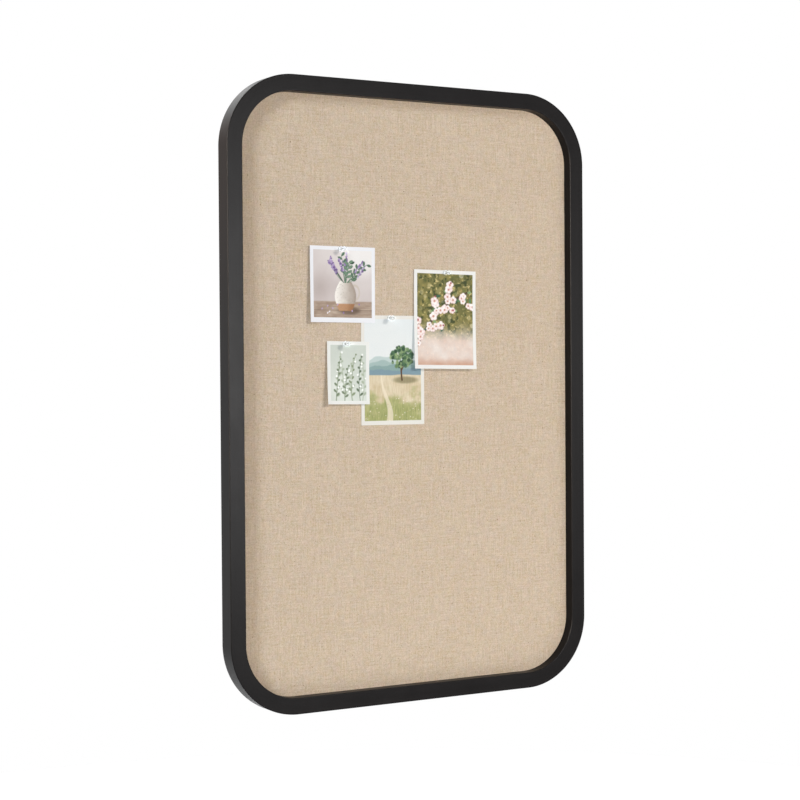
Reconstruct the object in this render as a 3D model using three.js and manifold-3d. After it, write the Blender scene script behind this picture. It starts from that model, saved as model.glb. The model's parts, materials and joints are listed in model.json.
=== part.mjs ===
// Rounded linen pin board in a deep black wooden frame, hung on two D-rings.
// Millimetres. X runs to the right, Y runs into the wall and Z runs up.
// The origin lies on the wall, behind the centre of the board.

import * as THREE from 'three';
import { mergeVertices } from 'three/addons/utils/BufferGeometryUtils.js';
import Module from 'manifold-3d';

const wasm = await Module();
wasm.setup();

// Frame: outline, section and joints
const BOARD_WIDTH = 609.6;
const BOARD_HEIGHT = 914.4;
const CORNER_RADIUS = 106;
const FACE_WIDTH = 23.8;
const EDGE_RADIUS = 1.2;
const RABBET_WIDTH = 7;
const CORNER_LEG = 35;
const GLUE_LINE = 0.1;
const TENON_WIDTH = 12;
const TENON_THICKNESS = 5;
const TENON_LENGTH = 30;
const TENON_CLEARANCE = 0.15;

// Panel: layers from the front of the frame to its back
const RECESS_DEPTH = 17;
const LINEN_THICKNESS = 0.8;
const CORE_THICKNESS = 8;
const BACKING_THICKNESS = 2.5;
const HEM_WIDTH = 18;
const PANEL_EDGE_GAP = 1;
const LAYER_GAP = 0.2;
const SEAT_GAP = 0.3;

// Wood screws with a low domed head
const SCREW_RADIUS = 1.5;
const SCREW_LENGTH = 12;
const SCREW_TIP = 4;
const SCREW_HEAD_RADIUS = 3.2;
const SCREW_HEAD_HEIGHT = 2;
const SCREW_HEAD_RIM = 0.6;
const SCREW_CLEARANCE = 0.2;

// Domes of screw heads and pin caps: the share of the radius at which the crown turns down
const DOME_SHOULDER = 0.8;

// Turn buttons: stamped steel, with an eye for the screw and a raised finger tab
const BUTTON_EYE_RADIUS = 5.5;
const BUTTON_TIP_RADIUS = 3.6;
const BUTTON_REACH = 18;
const BUTTON_THICKNESS = 1.2;
const BUTTON_TAB_LENGTH = 5;
const BUTTON_TAB_RISE = 1.4;

// Hangers: a strap folded round the bar of a D-ring
const HANGER_DROP = 200;
const HANGER_INSET = 10;
const HANGER_TO_BUTTON = 110;
const STRAP_WIDTH = 9.5;
const STRAP_LENGTH = 34;
const STRAP_THICKNESS = 0.8;
const STRAP_FIRST_SCREW = 11;
const STRAP_SCREW_SPACING = 15;
const RING_WIRE_RADIUS = 1.1;
const RING_BAR_CLEARANCE = 0.3;
const RING_SIDE_CLEARANCE = 0.8;
const RING_BEND_RADIUS = 2;
const RING_SIDE_HEIGHT = 6;

// Rubber bumpers on the back
const BUMPER_RADIUS = 5;
const BUMPER_THICKNESS = 5;
const BUMPER_RIM = 1.2;

// Clear push pins
const PIN_HEIGHT = 11;
const PIN_FLANGE_RADIUS = 4.2;
const PIN_FLANGE_THICKNESS = 1.6;
const PIN_WAIST_RADIUS = 2.3;
const PIN_CAP_RADIUS = 3.6;
const PIN_CAP_THICKNESS = 2.4;
const PIN_CAP_CROWN = 0.5;
const NEEDLE_RADIUS = 0.55;
const NEEDLE_LENGTH = 8.5;
const NEEDLE_TIP = 2.5;
const NEEDLE_EMBED = 6;
const NEEDLE_CLEARANCE = 0.3;

// Prints: paper, and how far below its top edge each one is pinned
const PRINT_THICKNESS = 0.4;
const PIN_INSET = 3.5;
const TALL_PRINT_LAYER = 0;
const UPPER_PRINT_LAYER = 1;

// Steps of the round stretches
const CORNER_STEPS = 20;
const EDGE_STEPS = 3;
const ROUND_STEPS = 20;
const SMALL_ROUND_STEPS = 12;
const NEEDLE_STEPS = 8;
const SAME_POINT = 1e-6;

// Each print hangs from one pin. Pin places are from the centre of the board, tilts are in degrees,
// and a pin offset is how far the pin stands to the right of the print's own centre line.
const UPPER_LEFT_PRINT_WIDTH = 108.2;
const UPPER_LEFT_PRINT_HEIGHT = 110.6;
const UPPER_LEFT_PIN_X = -117.3;
const UPPER_LEFT_PIN_Z = 211.8;
const UPPER_LEFT_PIN_OFFSET = -2.7;
const RIGHT_PRINT_WIDTH = 108.7;
const RIGHT_PRINT_HEIGHT = 148.1;
const RIGHT_PIN_X = 61.1;
const RIGHT_PIN_Z = 180.7;
const RIGHT_PIN_OFFSET = 0.4;
const SMALL_PRINT_WIDTH = 70.4;
const SMALL_PRINT_HEIGHT = 91.8;
const SMALL_PIN_X = -111.5;
const SMALL_PIN_Z = 73.8;
const SMALL_PIN_OFFSET = -5.3;
const TALL_PRINT_WIDTH = 107.3;
const TALL_PRINT_HEIGHT = 161.7;
const TALL_PIN_X = -35.7;
const TALL_PIN_Z = 112;
const TALL_PIN_OFFSET = -5.2;

const PRINTS = [
  {
    name: 'upper_left',
    width: UPPER_LEFT_PRINT_WIDTH,
    height: UPPER_LEFT_PRINT_HEIGHT,
    pinX: UPPER_LEFT_PIN_X,
    pinZ: UPPER_LEFT_PIN_Z,
    pinOffset: UPPER_LEFT_PIN_OFFSET,
    tilt: -0.4,
    layer: UPPER_PRINT_LAYER,
  },
  {
    name: 'right',
    width: RIGHT_PRINT_WIDTH,
    height: RIGHT_PRINT_HEIGHT,
    pinX: RIGHT_PIN_X,
    pinZ: RIGHT_PIN_Z,
    pinOffset: RIGHT_PIN_OFFSET,
    tilt: -0.8,
    layer: UPPER_PRINT_LAYER,
  },
  {
    name: 'small',
    width: SMALL_PRINT_WIDTH,
    height: SMALL_PRINT_HEIGHT,
    pinX: SMALL_PIN_X,
    pinZ: SMALL_PIN_Z,
    pinOffset: SMALL_PIN_OFFSET,
    tilt: -0.9,
    layer: UPPER_PRINT_LAYER,
  },
  {
    name: 'tall',
    width: TALL_PRINT_WIDTH,
    height: TALL_PRINT_HEIGHT,
    pinX: TALL_PIN_X,
    pinZ: TALL_PIN_Z,
    pinOffset: TALL_PIN_OFFSET,
    tilt: -0.1,
    layer: TALL_PRINT_LAYER,
  },
];

// Depths of the layers, measured back from the front of the frame
const LIP_DEPTH = RECESS_DEPTH - SEAT_GAP;
const CORE_FRONT = RECESS_DEPTH + LINEN_THICKNESS + LAYER_GAP;
const CORE_BACK = CORE_FRONT + CORE_THICKNESS;
const HEM_FRONT = CORE_BACK + LAYER_GAP;
const HEM_BACK = HEM_FRONT + LINEN_THICKNESS;
const BACKING_FRONT = HEM_BACK + LAYER_GAP;
const BACKING_BACK = BACKING_FRONT + BACKING_THICKNESS;
const FRAME_DEPTH = BACKING_BACK + SEAT_GAP;

// Places in the board's own frame
const BACK_Y = -BUMPER_THICKNESS;
const FRONT_Y = BACK_Y - FRAME_DEPTH;
const HALF_WIDTH = BOARD_WIDTH / 2;
const HALF_HEIGHT = BOARD_HEIGHT / 2;
const HARDWARE_INSET = (FACE_WIDTH - RABBET_WIDTH) / 2;
const SIDE_X = HALF_WIDTH - HARDWARE_INSET;
const END_Z = HALF_HEIGHT - HARDWARE_INSET;
const HANGER_X = HALF_WIDTH - HANGER_INSET;
const HANGER_Z = HALF_HEIGHT - HANGER_DROP;
const BUTTON_Z = HANGER_Z - HANGER_TO_BUTTON;
const PANEL_INSET = FACE_WIDTH - RABBET_WIDTH + PANEL_EDGE_GAP;
const QUARTER_TURN = Math.PI / 2;
const FULL_TURN = 2 * Math.PI;

// The four corners in clockwise order, seen from the front, and the angle at which each arc starts
const CORNERS = [
  { name: 'upper_left', right: -1, up: 1, start: Math.PI },
  { name: 'upper_right', right: 1, up: 1, start: QUARTER_TURN },
  { name: 'lower_right', right: 1, up: -1, start: 0 },
  { name: 'lower_left', right: -1, up: -1, start: -QUARTER_TURN },
];

// Each rail follows the corner of the same place in the list
const RAILS = [
  { name: 'top', ends: ['left', 'right'] },
  { name: 'right', ends: ['upper', 'lower'] },
  { name: 'bottom', ends: ['right', 'left'] },
  { name: 'left', ends: ['lower', 'upper'] },
];

// The turn buttons point inwards, over the backing board
const TURN_BUTTONS = [
  { name: 'left_upper', rail: 'left', x: -SIDE_X, z: BUTTON_Z, turn: 0 },
  { name: 'left_lower', rail: 'left', x: -SIDE_X, z: -BUTTON_Z, turn: 0 },
  { name: 'right_upper', rail: 'right', x: SIDE_X, z: BUTTON_Z, turn: Math.PI },
  { name: 'right_lower', rail: 'right', x: SIDE_X, z: -BUTTON_Z, turn: Math.PI },
  { name: 'top', rail: 'top', x: 0, z: END_Z, turn: QUARTER_TURN },
  { name: 'bottom', rail: 'bottom', x: 0, z: -END_Z, turn: -QUARTER_TURN },
];

const HANGERS = [
  { name: 'left', x: -HANGER_X },
  { name: 'right', x: HANGER_X },
];

const HANGER_SCREWS = [
  { name: 'upper', drop: STRAP_FIRST_SCREW },
  { name: 'lower', drop: STRAP_FIRST_SCREW + STRAP_SCREW_SPACING },
];

const FINISHES = {
  frame: { color: '#2c2b2c', roughness: 0.42, metalness: 0 },
  beech: { color: '#c9a672', roughness: 0.8, metalness: 0 },
  linen: { color: '#cfbba3', roughness: 0.95, metalness: 0 },
  fibre: { color: '#9a7f5f', roughness: 0.95, metalness: 0 },
  hardboard: { color: '#6d5038', roughness: 0.7, metalness: 0 },
  steel: { color: '#b9bbbd', roughness: 0.3, metalness: 1 },
  rubber: { color: '#3a3a3c', roughness: 0.85, metalness: 0 },
  clear: { color: '#eef2f3', roughness: 0.08, metalness: 0, transparent: true, opacity: 0.35 },
  paper: { color: '#f1efeb', roughness: 0.5, metalness: 0 },
};

const board = new THREE.Group();

function addMesh(name, geometry, finish, place = {}) {
  const mesh = new THREE.Mesh(geometry, new THREE.MeshStandardMaterial(FINISHES[finish]));
  mesh.name = name;
  mesh.material.flatShading = true;
  mesh.position.set(place.x ?? 0, place.y ?? 0, place.z ?? 0);
  mesh.rotation.y = place.turn ?? 0;
  board.add(mesh);
}

// Solids for cutting and joining

function toSolid(geometry) {
  const bare = geometry.clone();
  bare.deleteAttribute('normal');
  bare.deleteAttribute('uv');
  const merged = mergeVertices(bare);
  return new wasm.Manifold(new wasm.Mesh({
    numProp: 3,
    vertProperties: new Float32Array(merged.attributes.position.array),
    triVerts: new Uint32Array(merged.index.array),
  }));
}

function toGeometry(solid) {
  const { vertProperties, triVerts } = solid.getMesh();
  const geometry = new THREE.BufferGeometry();
  geometry.setAttribute('position', new THREE.BufferAttribute(vertProperties, 3));
  geometry.setIndex(new THREE.BufferAttribute(triVerts, 1));
  geometry.computeVertexNormals();
  return geometry;
}

function cut(geometry, tools) {
  return toGeometry(tools.reduce((solid, tool) => solid.subtract(toSolid(tool)), toSolid(geometry)));
}

function common(first, second) {
  return toGeometry(toSolid(first).intersect(toSolid(second)));
}

// Shapes

function circle(radius, x = 0, y = 0) {
  return new THREE.Shape().absarc(x, y, radius, 0, FULL_TURN, false);
}

// A flat piece drawn in X and Z, from front depth y0 to back depth y1
function slab(shape, y0, y1, arcSteps = SMALL_ROUND_STEPS) {
  const options = { depth: y1 - y0, bevelEnabled: false, curveSegments: arcSteps / 2 };
  return new THREE.ExtrudeGeometry(shape, options).rotateX(QUARTER_TURN).translate(0, y1, 0);
}

// A round hole's tool along Y
function drill(radius, x, z, y0, y1, steps = SMALL_ROUND_STEPS) {
  return slab(circle(radius, x, z), y0, y1, steps);
}

function revolve(path, steps, curveSteps = EDGE_STEPS) {
  return new THREE.LatheGeometry(path.getPoints(curveSteps), steps);
}

// The board's outline, drawn in by an inset on every side
function boardOutline(inset) {
  const x = HALF_WIDTH - inset;
  const z = HALF_HEIGHT - inset;
  const radius = CORNER_RADIUS - inset;
  const outline = new THREE.Shape();
  outline.absarc(x - radius, z - radius, radius, 0, QUARTER_TURN, false);
  outline.absarc(radius - x, z - radius, radius, QUARTER_TURN, Math.PI, false);
  outline.absarc(radius - x, radius - z, radius, Math.PI, 3 * QUARTER_TURN, false);
  outline.absarc(x - radius, radius - z, radius, 3 * QUARTER_TURN, FULL_TURN, false);
  outline.closePath();
  return outline;
}

// A station of a sweep: a point of the outer line and the direction that points inwards from it
function station(x, z, angle) {
  return { x, z, inX: -Math.cos(angle), inZ: -Math.sin(angle) };
}

function along(from, distance) {
  return { ...from, x: from.x - from.inZ * distance, z: from.z + from.inX * distance };
}

function arcStations(x, z, radius, from, to, steps) {
  return Array.from({ length: steps + 1 }, (_, i) => {
    const angle = from + ((to - from) * i) / steps;
    return station(x + radius * Math.cos(angle), z + radius * Math.sin(angle), angle);
  });
}

// Carries a section along the stations. In the section, x is inwards from the line and y is the depth.
function sweep(section, stations, closed = false) {
  const size = section.length;
  const points = stations.flatMap((at) =>
    section.flatMap((p) => [at.x + p.x * at.inX, p.y, at.z + p.x * at.inZ]));
  const index = [];
  const spans = closed ? stations.length : stations.length - 1;
  for (let i = 0; i < spans; i += 1) {
    const here = i * size;
    const next = ((i + 1) % stations.length) * size;
    for (let k = 0; k < size; k += 1) {
      const l = (k + 1) % size;
      index.push(here + k, here + l, next + l, here + k, next + l, next + k);
    }
  }
  if (!closed) {
    const last = (stations.length - 1) * size;
    for (const [a, b, c] of THREE.ShapeUtils.triangulateShape(section, [])) {
      index.push(c, b, a, last + a, last + b, last + c);
    }
  }
  const geometry = new THREE.BufferGeometry();
  geometry.setAttribute('position', new THREE.Float32BufferAttribute(points, 3));
  geometry.setIndex(index);
  geometry.computeVertexNormals();
  return geometry;
}

function sectionPoints(shape, arcSteps) {
  const points = shape.getPoints(arcSteps / 2);
  const last = points.length - 1;
  return points[0].distanceTo(points[last]) < SAME_POINT ? points.slice(0, last) : points;
}

// Frame: an L section with eased front edges, its rabbet open to the back

function frameSection() {
  const r = EDGE_RADIUS;
  const back = BACK_Y;
  const web = FACE_WIDTH - RABBET_WIDTH;
  const shape = new THREE.Shape();
  shape.absarc(r, FRONT_Y + r, r, Math.PI, 3 * QUARTER_TURN, false);
  shape.absarc(FACE_WIDTH - r, FRONT_Y + r, r, 3 * QUARTER_TURN, FULL_TURN, false);
  shape.lineTo(FACE_WIDTH, FRONT_Y + LIP_DEPTH);
  shape.lineTo(web, FRONT_Y + LIP_DEPTH);
  shape.lineTo(web, back);
  shape.absarc(r, back - r, r, QUARTER_TURN, Math.PI, false);
  shape.closePath();
  return sectionPoints(shape, EDGE_STEPS);
}

// The loose tenon is a flat bar with round edges, in the middle of the frame's lip
function tenonSection(grow) {
  const radius = TENON_THICKNESS / 2 + grow;
  const reach = (TENON_WIDTH - TENON_THICKNESS) / 2;
  const middle = FACE_WIDTH / 2;
  const depth = FRONT_Y + LIP_DEPTH / 2;
  const shape = new THREE.Shape();
  shape.absarc(middle + reach, depth, radius, -QUARTER_TURN, QUARTER_TURN, false);
  shape.absarc(middle - reach, depth, radius, QUARTER_TURN, 3 * QUARTER_TURN, false);
  shape.closePath();
  return sectionPoints(shape, SMALL_ROUND_STEPS / 2);
}

function tenonAt(joint, grow) {
  const half = TENON_LENGTH / 2 + grow;
  return sweep(tenonSection(grow), [along(joint, -half), along(joint, half)]);
}

function cornerArc({ right, up, start }) {
  const x = right * (HALF_WIDTH - CORNER_RADIUS);
  const z = up * (HALF_HEIGHT - CORNER_RADIUS);
  return arcStations(x, z, CORNER_RADIUS, start, start - QUARTER_TURN, CORNER_STEPS);
}

function pilotHole({ x, z }) {
  const bottom = BACK_Y - SCREW_LENGTH - SCREW_CLEARANCE;
  return drill(SCREW_RADIUS + SCREW_CLEARANCE, x, z, bottom, BACK_Y + SCREW_CLEARANCE);
}

function pilotHoles(railName) {
  const buttons = TURN_BUTTONS.filter((button) => button.rail === railName);
  const straps = HANGERS.filter((hanger) => hanger.name === railName);
  const strapScrews = straps.flatMap(({ x }) =>
    HANGER_SCREWS.map(({ drop }) => ({ x, z: HANGER_Z - drop })));
  return [...buttons, ...strapScrews].map(pilotHole);
}

function addFrame() {
  const section = frameSection();
  const arcs = CORNERS.map(cornerArc);
  const jointReach = CORNER_LEG + GLUE_LINE / 2;
  const legIn = arcs.map((arc) => along(arc[0], -jointReach));
  const legOut = arcs.map((arc) => along(arc.at(-1), jointReach));
  CORNERS.forEach(({ name }, i) => {
    const arc = arcs[i];
    const line = [along(arc[0], -CORNER_LEG), ...arc, along(arc.at(-1), CORNER_LEG)];
    const mortises = [legIn[i], legOut[i]].map((joint) => tenonAt(joint, TENON_CLEARANCE));
    addMesh(`${name}_corner`, cut(sweep(section, line), mortises), 'frame');
  });
  RAILS.forEach(({ name, ends }, i) => {
    const from = legOut[i];
    const to = legIn[(i + 1) % CORNERS.length];
    const bar = sweep(section, [along(from, GLUE_LINE / 2), along(to, -GLUE_LINE / 2)]);
    const mortises = [from, to].map((joint) => tenonAt(joint, TENON_CLEARANCE));
    addMesh(`${name}_rail`, cut(bar, [...mortises, ...pilotHoles(name)]), 'frame');
    addMesh(`tenon_${name}_${ends[0]}`, tenonAt(from, 0), 'beech');
    addMesh(`tenon_${name}_${ends[1]}`, tenonAt(to, 0), 'beech');
  });
}

// Panel: linen turned over a soft core, with a thin board behind it

function needleHoles() {
  const radius = NEEDLE_RADIUS + NEEDLE_CLEARANCE;
  return PRINTS.map(({ pinX, pinZ, layer }) => {
    const tip = pinSeatY(layer) + NEEDLE_LENGTH;
    return drill(radius, pinX, pinZ, FRONT_Y + LIP_DEPTH, tip + NEEDLE_CLEARANCE, NEEDLE_STEPS);
  });
}

function addPanel() {
  const holes = needleHoles();
  const outline = boardOutline(PANEL_INSET);
  const coreInset = PANEL_INSET + LINEN_THICKNESS + LAYER_GAP;
  const wrap = slab(outline, FRONT_Y + RECESS_DEPTH, FRONT_Y + HEM_BACK, CORNER_STEPS);
  const hollowInset = PANEL_INSET + LINEN_THICKNESS;
  const hollowFront = FRONT_Y + RECESS_DEPTH + LINEN_THICKNESS;
  const hollow = slab(boardOutline(hollowInset), hollowFront, FRONT_Y + HEM_FRONT, CORNER_STEPS);
  const windowInset = PANEL_INSET + HEM_WIDTH;
  const windowBack = FRONT_Y + HEM_BACK + LAYER_GAP;
  const window = slab(boardOutline(windowInset), FRONT_Y + CORE_BACK, windowBack, CORNER_STEPS);
  addMesh('linen_cover', cut(wrap, [hollow, window, ...holes]), 'linen');
  const core = slab(boardOutline(coreInset), FRONT_Y + CORE_FRONT, FRONT_Y + CORE_BACK, CORNER_STEPS);
  addMesh('fibre_core', cut(core, holes), 'fibre');
  const backing = slab(outline, FRONT_Y + BACKING_FRONT, FRONT_Y + BACKING_BACK, CORNER_STEPS);
  addMesh('backing_board', backing, 'hardboard');
}

// Hardware on the back

// The head's underside lies at y = 0 and the tip points to the front
function screwGeometry() {
  const path = new THREE.Path();
  path.moveTo(0, -SCREW_LENGTH);
  path.lineTo(SCREW_RADIUS, SCREW_TIP - SCREW_LENGTH);
  path.lineTo(SCREW_RADIUS, 0);
  path.lineTo(SCREW_HEAD_RADIUS, 0);
  path.lineTo(SCREW_HEAD_RADIUS, SCREW_HEAD_RIM);
  path.quadraticCurveTo(SCREW_HEAD_RADIUS * DOME_SHOULDER, SCREW_HEAD_HEIGHT, 0, SCREW_HEAD_HEIGHT);
  return revolve(path, SMALL_ROUND_STEPS);
}

// The button lies along X from its eye, with the frame's back at y = 0
function turnButtonGeometry() {
  const low = SEAT_GAP;
  const high = SEAT_GAP + BUTTON_THICKNESS;
  const tip = BUTTON_REACH + BUTTON_TIP_RADIUS;
  const bend = tip - BUTTON_TAB_LENGTH;
  const side = new THREE.Shape();
  side.moveTo(-BUTTON_EYE_RADIUS, low);
  side.lineTo(bend, low);
  side.lineTo(tip, low + BUTTON_TAB_RISE);
  side.lineTo(tip, high + BUTTON_TAB_RISE);
  side.lineTo(bend, high);
  side.lineTo(-BUTTON_EYE_RADIUS, high);
  side.closePath();
  const width = 2 * BUTTON_EYE_RADIUS;
  const strip = new THREE.ExtrudeGeometry(side, { depth: width, bevelEnabled: false });
  strip.translate(0, 0, -width / 2);
  const lean = Math.acos((BUTTON_EYE_RADIUS - BUTTON_TIP_RADIUS) / BUTTON_REACH);
  const plan = new THREE.Shape();
  plan.absarc(BUTTON_REACH, 0, BUTTON_TIP_RADIUS, -lean, lean, false);
  plan.absarc(0, 0, BUTTON_EYE_RADIUS, lean, FULL_TURN - lean, false);
  plan.closePath();
  plan.holes.push(circle(SCREW_RADIUS + SCREW_CLEARANCE));
  return common(strip, slab(plan, 0, high + BUTTON_TAB_RISE + SEAT_GAP));
}

function addTurnButtons() {
  for (const { name, x, z, turn } of TURN_BUTTONS) {
    const headY = BACK_Y + 2 * SEAT_GAP + BUTTON_THICKNESS;
    addMesh(`turn_button_${name}`, turnButtonGeometry(), 'steel', { x, y: BACK_Y, z, turn });
    addMesh(`button_screw_${name}`, screwGeometry(), 'steel', { x, y: headY, z });
  }
}

// The strap's loop: the bar of the ring turns in it
const LOOP_BORE = RING_WIRE_RADIUS + RING_BAR_CLEARANCE;
const LOOP_RADIUS = LOOP_BORE + STRAP_THICKNESS;

// The bar's axis runs along X at z = 0, and the frame's back lies at y = 0
function strapGeometry() {
  const layers = 2 * STRAP_THICKNESS;
  const meet = Math.asin((layers - LOOP_RADIUS) / LOOP_RADIUS);
  const side = new THREE.Shape();
  side.moveTo(-STRAP_LENGTH, 0);
  side.absarc(0, LOOP_RADIUS, LOOP_RADIUS, -QUARTER_TURN, Math.PI - meet, false);
  side.lineTo(-STRAP_LENGTH, layers);
  side.closePath();
  side.holes.push(circle(LOOP_BORE, 0, LOOP_RADIUS));
  const options = { depth: STRAP_WIDTH, bevelEnabled: false, curveSegments: SMALL_ROUND_STEPS };
  const fold = new THREE.ExtrudeGeometry(side, options).rotateY(-QUARTER_TURN);
  fold.translate(STRAP_WIDTH / 2, 0, 0);
  const half = STRAP_WIDTH / 2;
  const plan = new THREE.Shape();
  plan.absarc(0, half - STRAP_LENGTH, half, Math.PI, FULL_TURN, false);
  plan.lineTo(half, LOOP_RADIUS);
  plan.lineTo(-half, LOOP_RADIUS);
  plan.closePath();
  for (const { drop } of HANGER_SCREWS) {
    plan.holes.push(circle(SCREW_RADIUS + SCREW_CLEARANCE, 0, -drop));
  }
  return common(fold, slab(plan, 0, 2 * LOOP_RADIUS));
}

// A round wire bent to a D: the bar lies at z = 0 and the bow stands above it
function ringGeometry() {
  const half = STRAP_WIDTH / 2 + RING_SIDE_CLEARANCE + RING_WIRE_RADIUS;
  const bendX = half - RING_BEND_RADIUS;
  const bend = RING_BEND_RADIUS;
  const wire = sectionPoints(circle(RING_WIRE_RADIUS, 0, LOOP_RADIUS), NEEDLE_STEPS);
  return sweep(wire, [
    ...arcStations(-bendX, bend, bend, 3 * QUARTER_TURN, Math.PI, EDGE_STEPS),
    ...arcStations(0, RING_SIDE_HEIGHT, half, Math.PI, 0, ROUND_STEPS),
    ...arcStations(bendX, bend, bend, 0, -QUARTER_TURN, EDGE_STEPS),
  ], true);
}

function addHangers() {
  for (const { name, x } of HANGERS) {
    const place = { x, y: BACK_Y, z: HANGER_Z };
    addMesh(`hanger_strap_${name}`, strapGeometry(), 'steel', place);
    addMesh(`d_ring_${name}`, ringGeometry(), 'steel', place);
    for (const screw of HANGER_SCREWS) {
      const headY = BACK_Y + 2 * STRAP_THICKNESS + SCREW_CLEARANCE;
      const at = { x, y: headY, z: HANGER_Z - screw.drop };
      addMesh(`hanger_screw_${name}_${screw.name}`, screwGeometry(), 'steel', at);
    }
  }
}

function bumperGeometry() {
  const path = new THREE.Path();
  path.moveTo(0, 0);
  path.lineTo(BUMPER_RADIUS, 0);
  path.lineTo(BUMPER_RADIUS, BUMPER_THICKNESS - BUMPER_RIM);
  path.quadraticCurveTo(BUMPER_RADIUS, BUMPER_THICKNESS, BUMPER_RADIUS - BUMPER_RIM, BUMPER_THICKNESS);
  path.lineTo(0, BUMPER_THICKNESS);
  return revolve(path, ROUND_STEPS);
}

// One bumper stands on the middle of each corner's back
function addBumpers() {
  const reach = (CORNER_RADIUS - HARDWARE_INSET) * Math.SQRT1_2;
  for (const { name, right, up } of CORNERS) {
    const x = right * (HALF_WIDTH - CORNER_RADIUS + reach);
    const z = up * (HALF_HEIGHT - CORNER_RADIUS + reach);
    addMesh(`bumper_${name}`, bumperGeometry(), 'rubber', { x, y: BACK_Y, z });
  }
}

// Prints and pins: prints lie in layers on the linen, and each pin seats on its own print

function printBackY(layer) {
  return FRONT_Y + RECESS_DEPTH - SEAT_GAP - layer * (PRINT_THICKNESS + SEAT_GAP);
}

function pinSeatY(layer) {
  return printBackY(layer) - PRINT_THICKNESS - SEAT_GAP;
}

// The pin's hole is at the origin and the sheet's back lies at y = 0
function printGeometry({ width, height, pinOffset }) {
  const left = -width / 2 - pinOffset;
  const bottom = PIN_INSET - height;
  const sheet = new THREE.Shape();
  sheet.moveTo(left, bottom);
  sheet.lineTo(left + width, bottom);
  sheet.lineTo(left + width, PIN_INSET);
  sheet.lineTo(left, PIN_INSET);
  sheet.closePath();
  sheet.holes.push(circle(NEEDLE_RADIUS + NEEDLE_CLEARANCE));
  return slab(sheet, -PRINT_THICKNESS, 0, NEEDLE_STEPS);
}

// The flange seats at y = 0, the cap points to the front and the bore takes the needle
function gripGeometry() {
  const bore = NEEDLE_RADIUS + NEEDLE_CLEARANCE;
  const boreEnd = -NEEDLE_EMBED - NEEDLE_CLEARANCE;
  const capBack = PIN_CAP_THICKNESS - PIN_HEIGHT;
  const waist = (capBack - PIN_FLANGE_THICKNESS) / 2;
  const shoulder = PIN_CAP_RADIUS * DOME_SHOULDER;
  const flangeRim = -PIN_FLANGE_THICKNESS / 2;
  const path = new THREE.Path();
  path.moveTo(0, -PIN_HEIGHT);
  path.quadraticCurveTo(shoulder, -PIN_HEIGHT, PIN_CAP_RADIUS, PIN_CAP_CROWN - PIN_HEIGHT);
  path.lineTo(PIN_CAP_RADIUS, capBack);
  path.quadraticCurveTo(PIN_WAIST_RADIUS, capBack, PIN_WAIST_RADIUS, waist);
  path.quadraticCurveTo(PIN_WAIST_RADIUS, -PIN_FLANGE_THICKNESS, PIN_FLANGE_RADIUS, flangeRim);
  path.lineTo(PIN_FLANGE_RADIUS, 0);
  path.lineTo(bore, 0);
  path.lineTo(bore, boreEnd);
  path.lineTo(0, boreEnd);
  return revolve(path, ROUND_STEPS);
}

function needleGeometry() {
  const path = new THREE.Path();
  path.moveTo(0, -NEEDLE_EMBED);
  path.lineTo(NEEDLE_RADIUS, -NEEDLE_EMBED);
  path.lineTo(NEEDLE_RADIUS, NEEDLE_LENGTH - NEEDLE_TIP);
  path.lineTo(0, NEEDLE_LENGTH);
  return revolve(path, NEEDLE_STEPS);
}

function addPrints() {
  for (const print of PRINTS) {
    const { name, pinX, pinZ, tilt, layer } = print;
    const turn = -THREE.MathUtils.degToRad(tilt);
    const sheet = { x: pinX, y: printBackY(layer), z: pinZ, turn };
    const seat = { x: pinX, y: pinSeatY(layer), z: pinZ };
    addMesh(`print_${name}`, printGeometry(print), 'paper', sheet);
    addMesh(`pin_grip_${name}`, gripGeometry(), 'clear', seat);
    addMesh(`pin_needle_${name}`, needleGeometry(), 'steel', seat);
  }
}

addFrame();
addPanel();
addTurnButtons();
addHangers();
addBumpers();
addPrints();

export default board;
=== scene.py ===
"""Looks of a rounded linen pin board in a black wooden frame, built round its CAD model.

Metres, +Z up, and the front faces -Y. Every piece stands where its CAD node is.
"""

import json
import math
from collections import namedtuple

import bmesh
import bpy
import numpy as np
from mathutils import Euler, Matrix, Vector
from mathutils.geometry import delaunay_2d_cdt


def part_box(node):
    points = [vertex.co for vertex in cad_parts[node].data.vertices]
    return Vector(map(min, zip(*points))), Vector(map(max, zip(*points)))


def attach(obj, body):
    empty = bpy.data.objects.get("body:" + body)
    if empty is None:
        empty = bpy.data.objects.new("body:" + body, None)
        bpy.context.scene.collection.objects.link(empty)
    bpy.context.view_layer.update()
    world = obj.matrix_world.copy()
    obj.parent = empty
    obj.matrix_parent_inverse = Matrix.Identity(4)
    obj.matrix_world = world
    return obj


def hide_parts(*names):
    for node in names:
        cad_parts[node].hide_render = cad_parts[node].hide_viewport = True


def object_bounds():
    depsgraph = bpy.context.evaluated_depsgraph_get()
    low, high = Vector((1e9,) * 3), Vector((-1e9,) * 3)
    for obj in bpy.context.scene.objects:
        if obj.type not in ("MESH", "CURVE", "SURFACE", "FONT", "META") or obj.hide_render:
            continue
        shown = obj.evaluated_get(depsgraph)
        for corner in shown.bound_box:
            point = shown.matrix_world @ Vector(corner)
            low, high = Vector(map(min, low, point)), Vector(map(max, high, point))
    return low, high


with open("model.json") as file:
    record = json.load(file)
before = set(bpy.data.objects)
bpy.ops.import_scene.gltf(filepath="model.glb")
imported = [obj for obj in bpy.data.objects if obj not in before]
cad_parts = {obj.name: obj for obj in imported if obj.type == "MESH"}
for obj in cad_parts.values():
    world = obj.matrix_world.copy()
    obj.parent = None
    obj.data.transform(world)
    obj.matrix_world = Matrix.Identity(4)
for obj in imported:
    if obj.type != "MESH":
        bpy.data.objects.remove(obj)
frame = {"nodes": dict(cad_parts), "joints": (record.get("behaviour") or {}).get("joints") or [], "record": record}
cad_low, cad_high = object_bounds()

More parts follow.
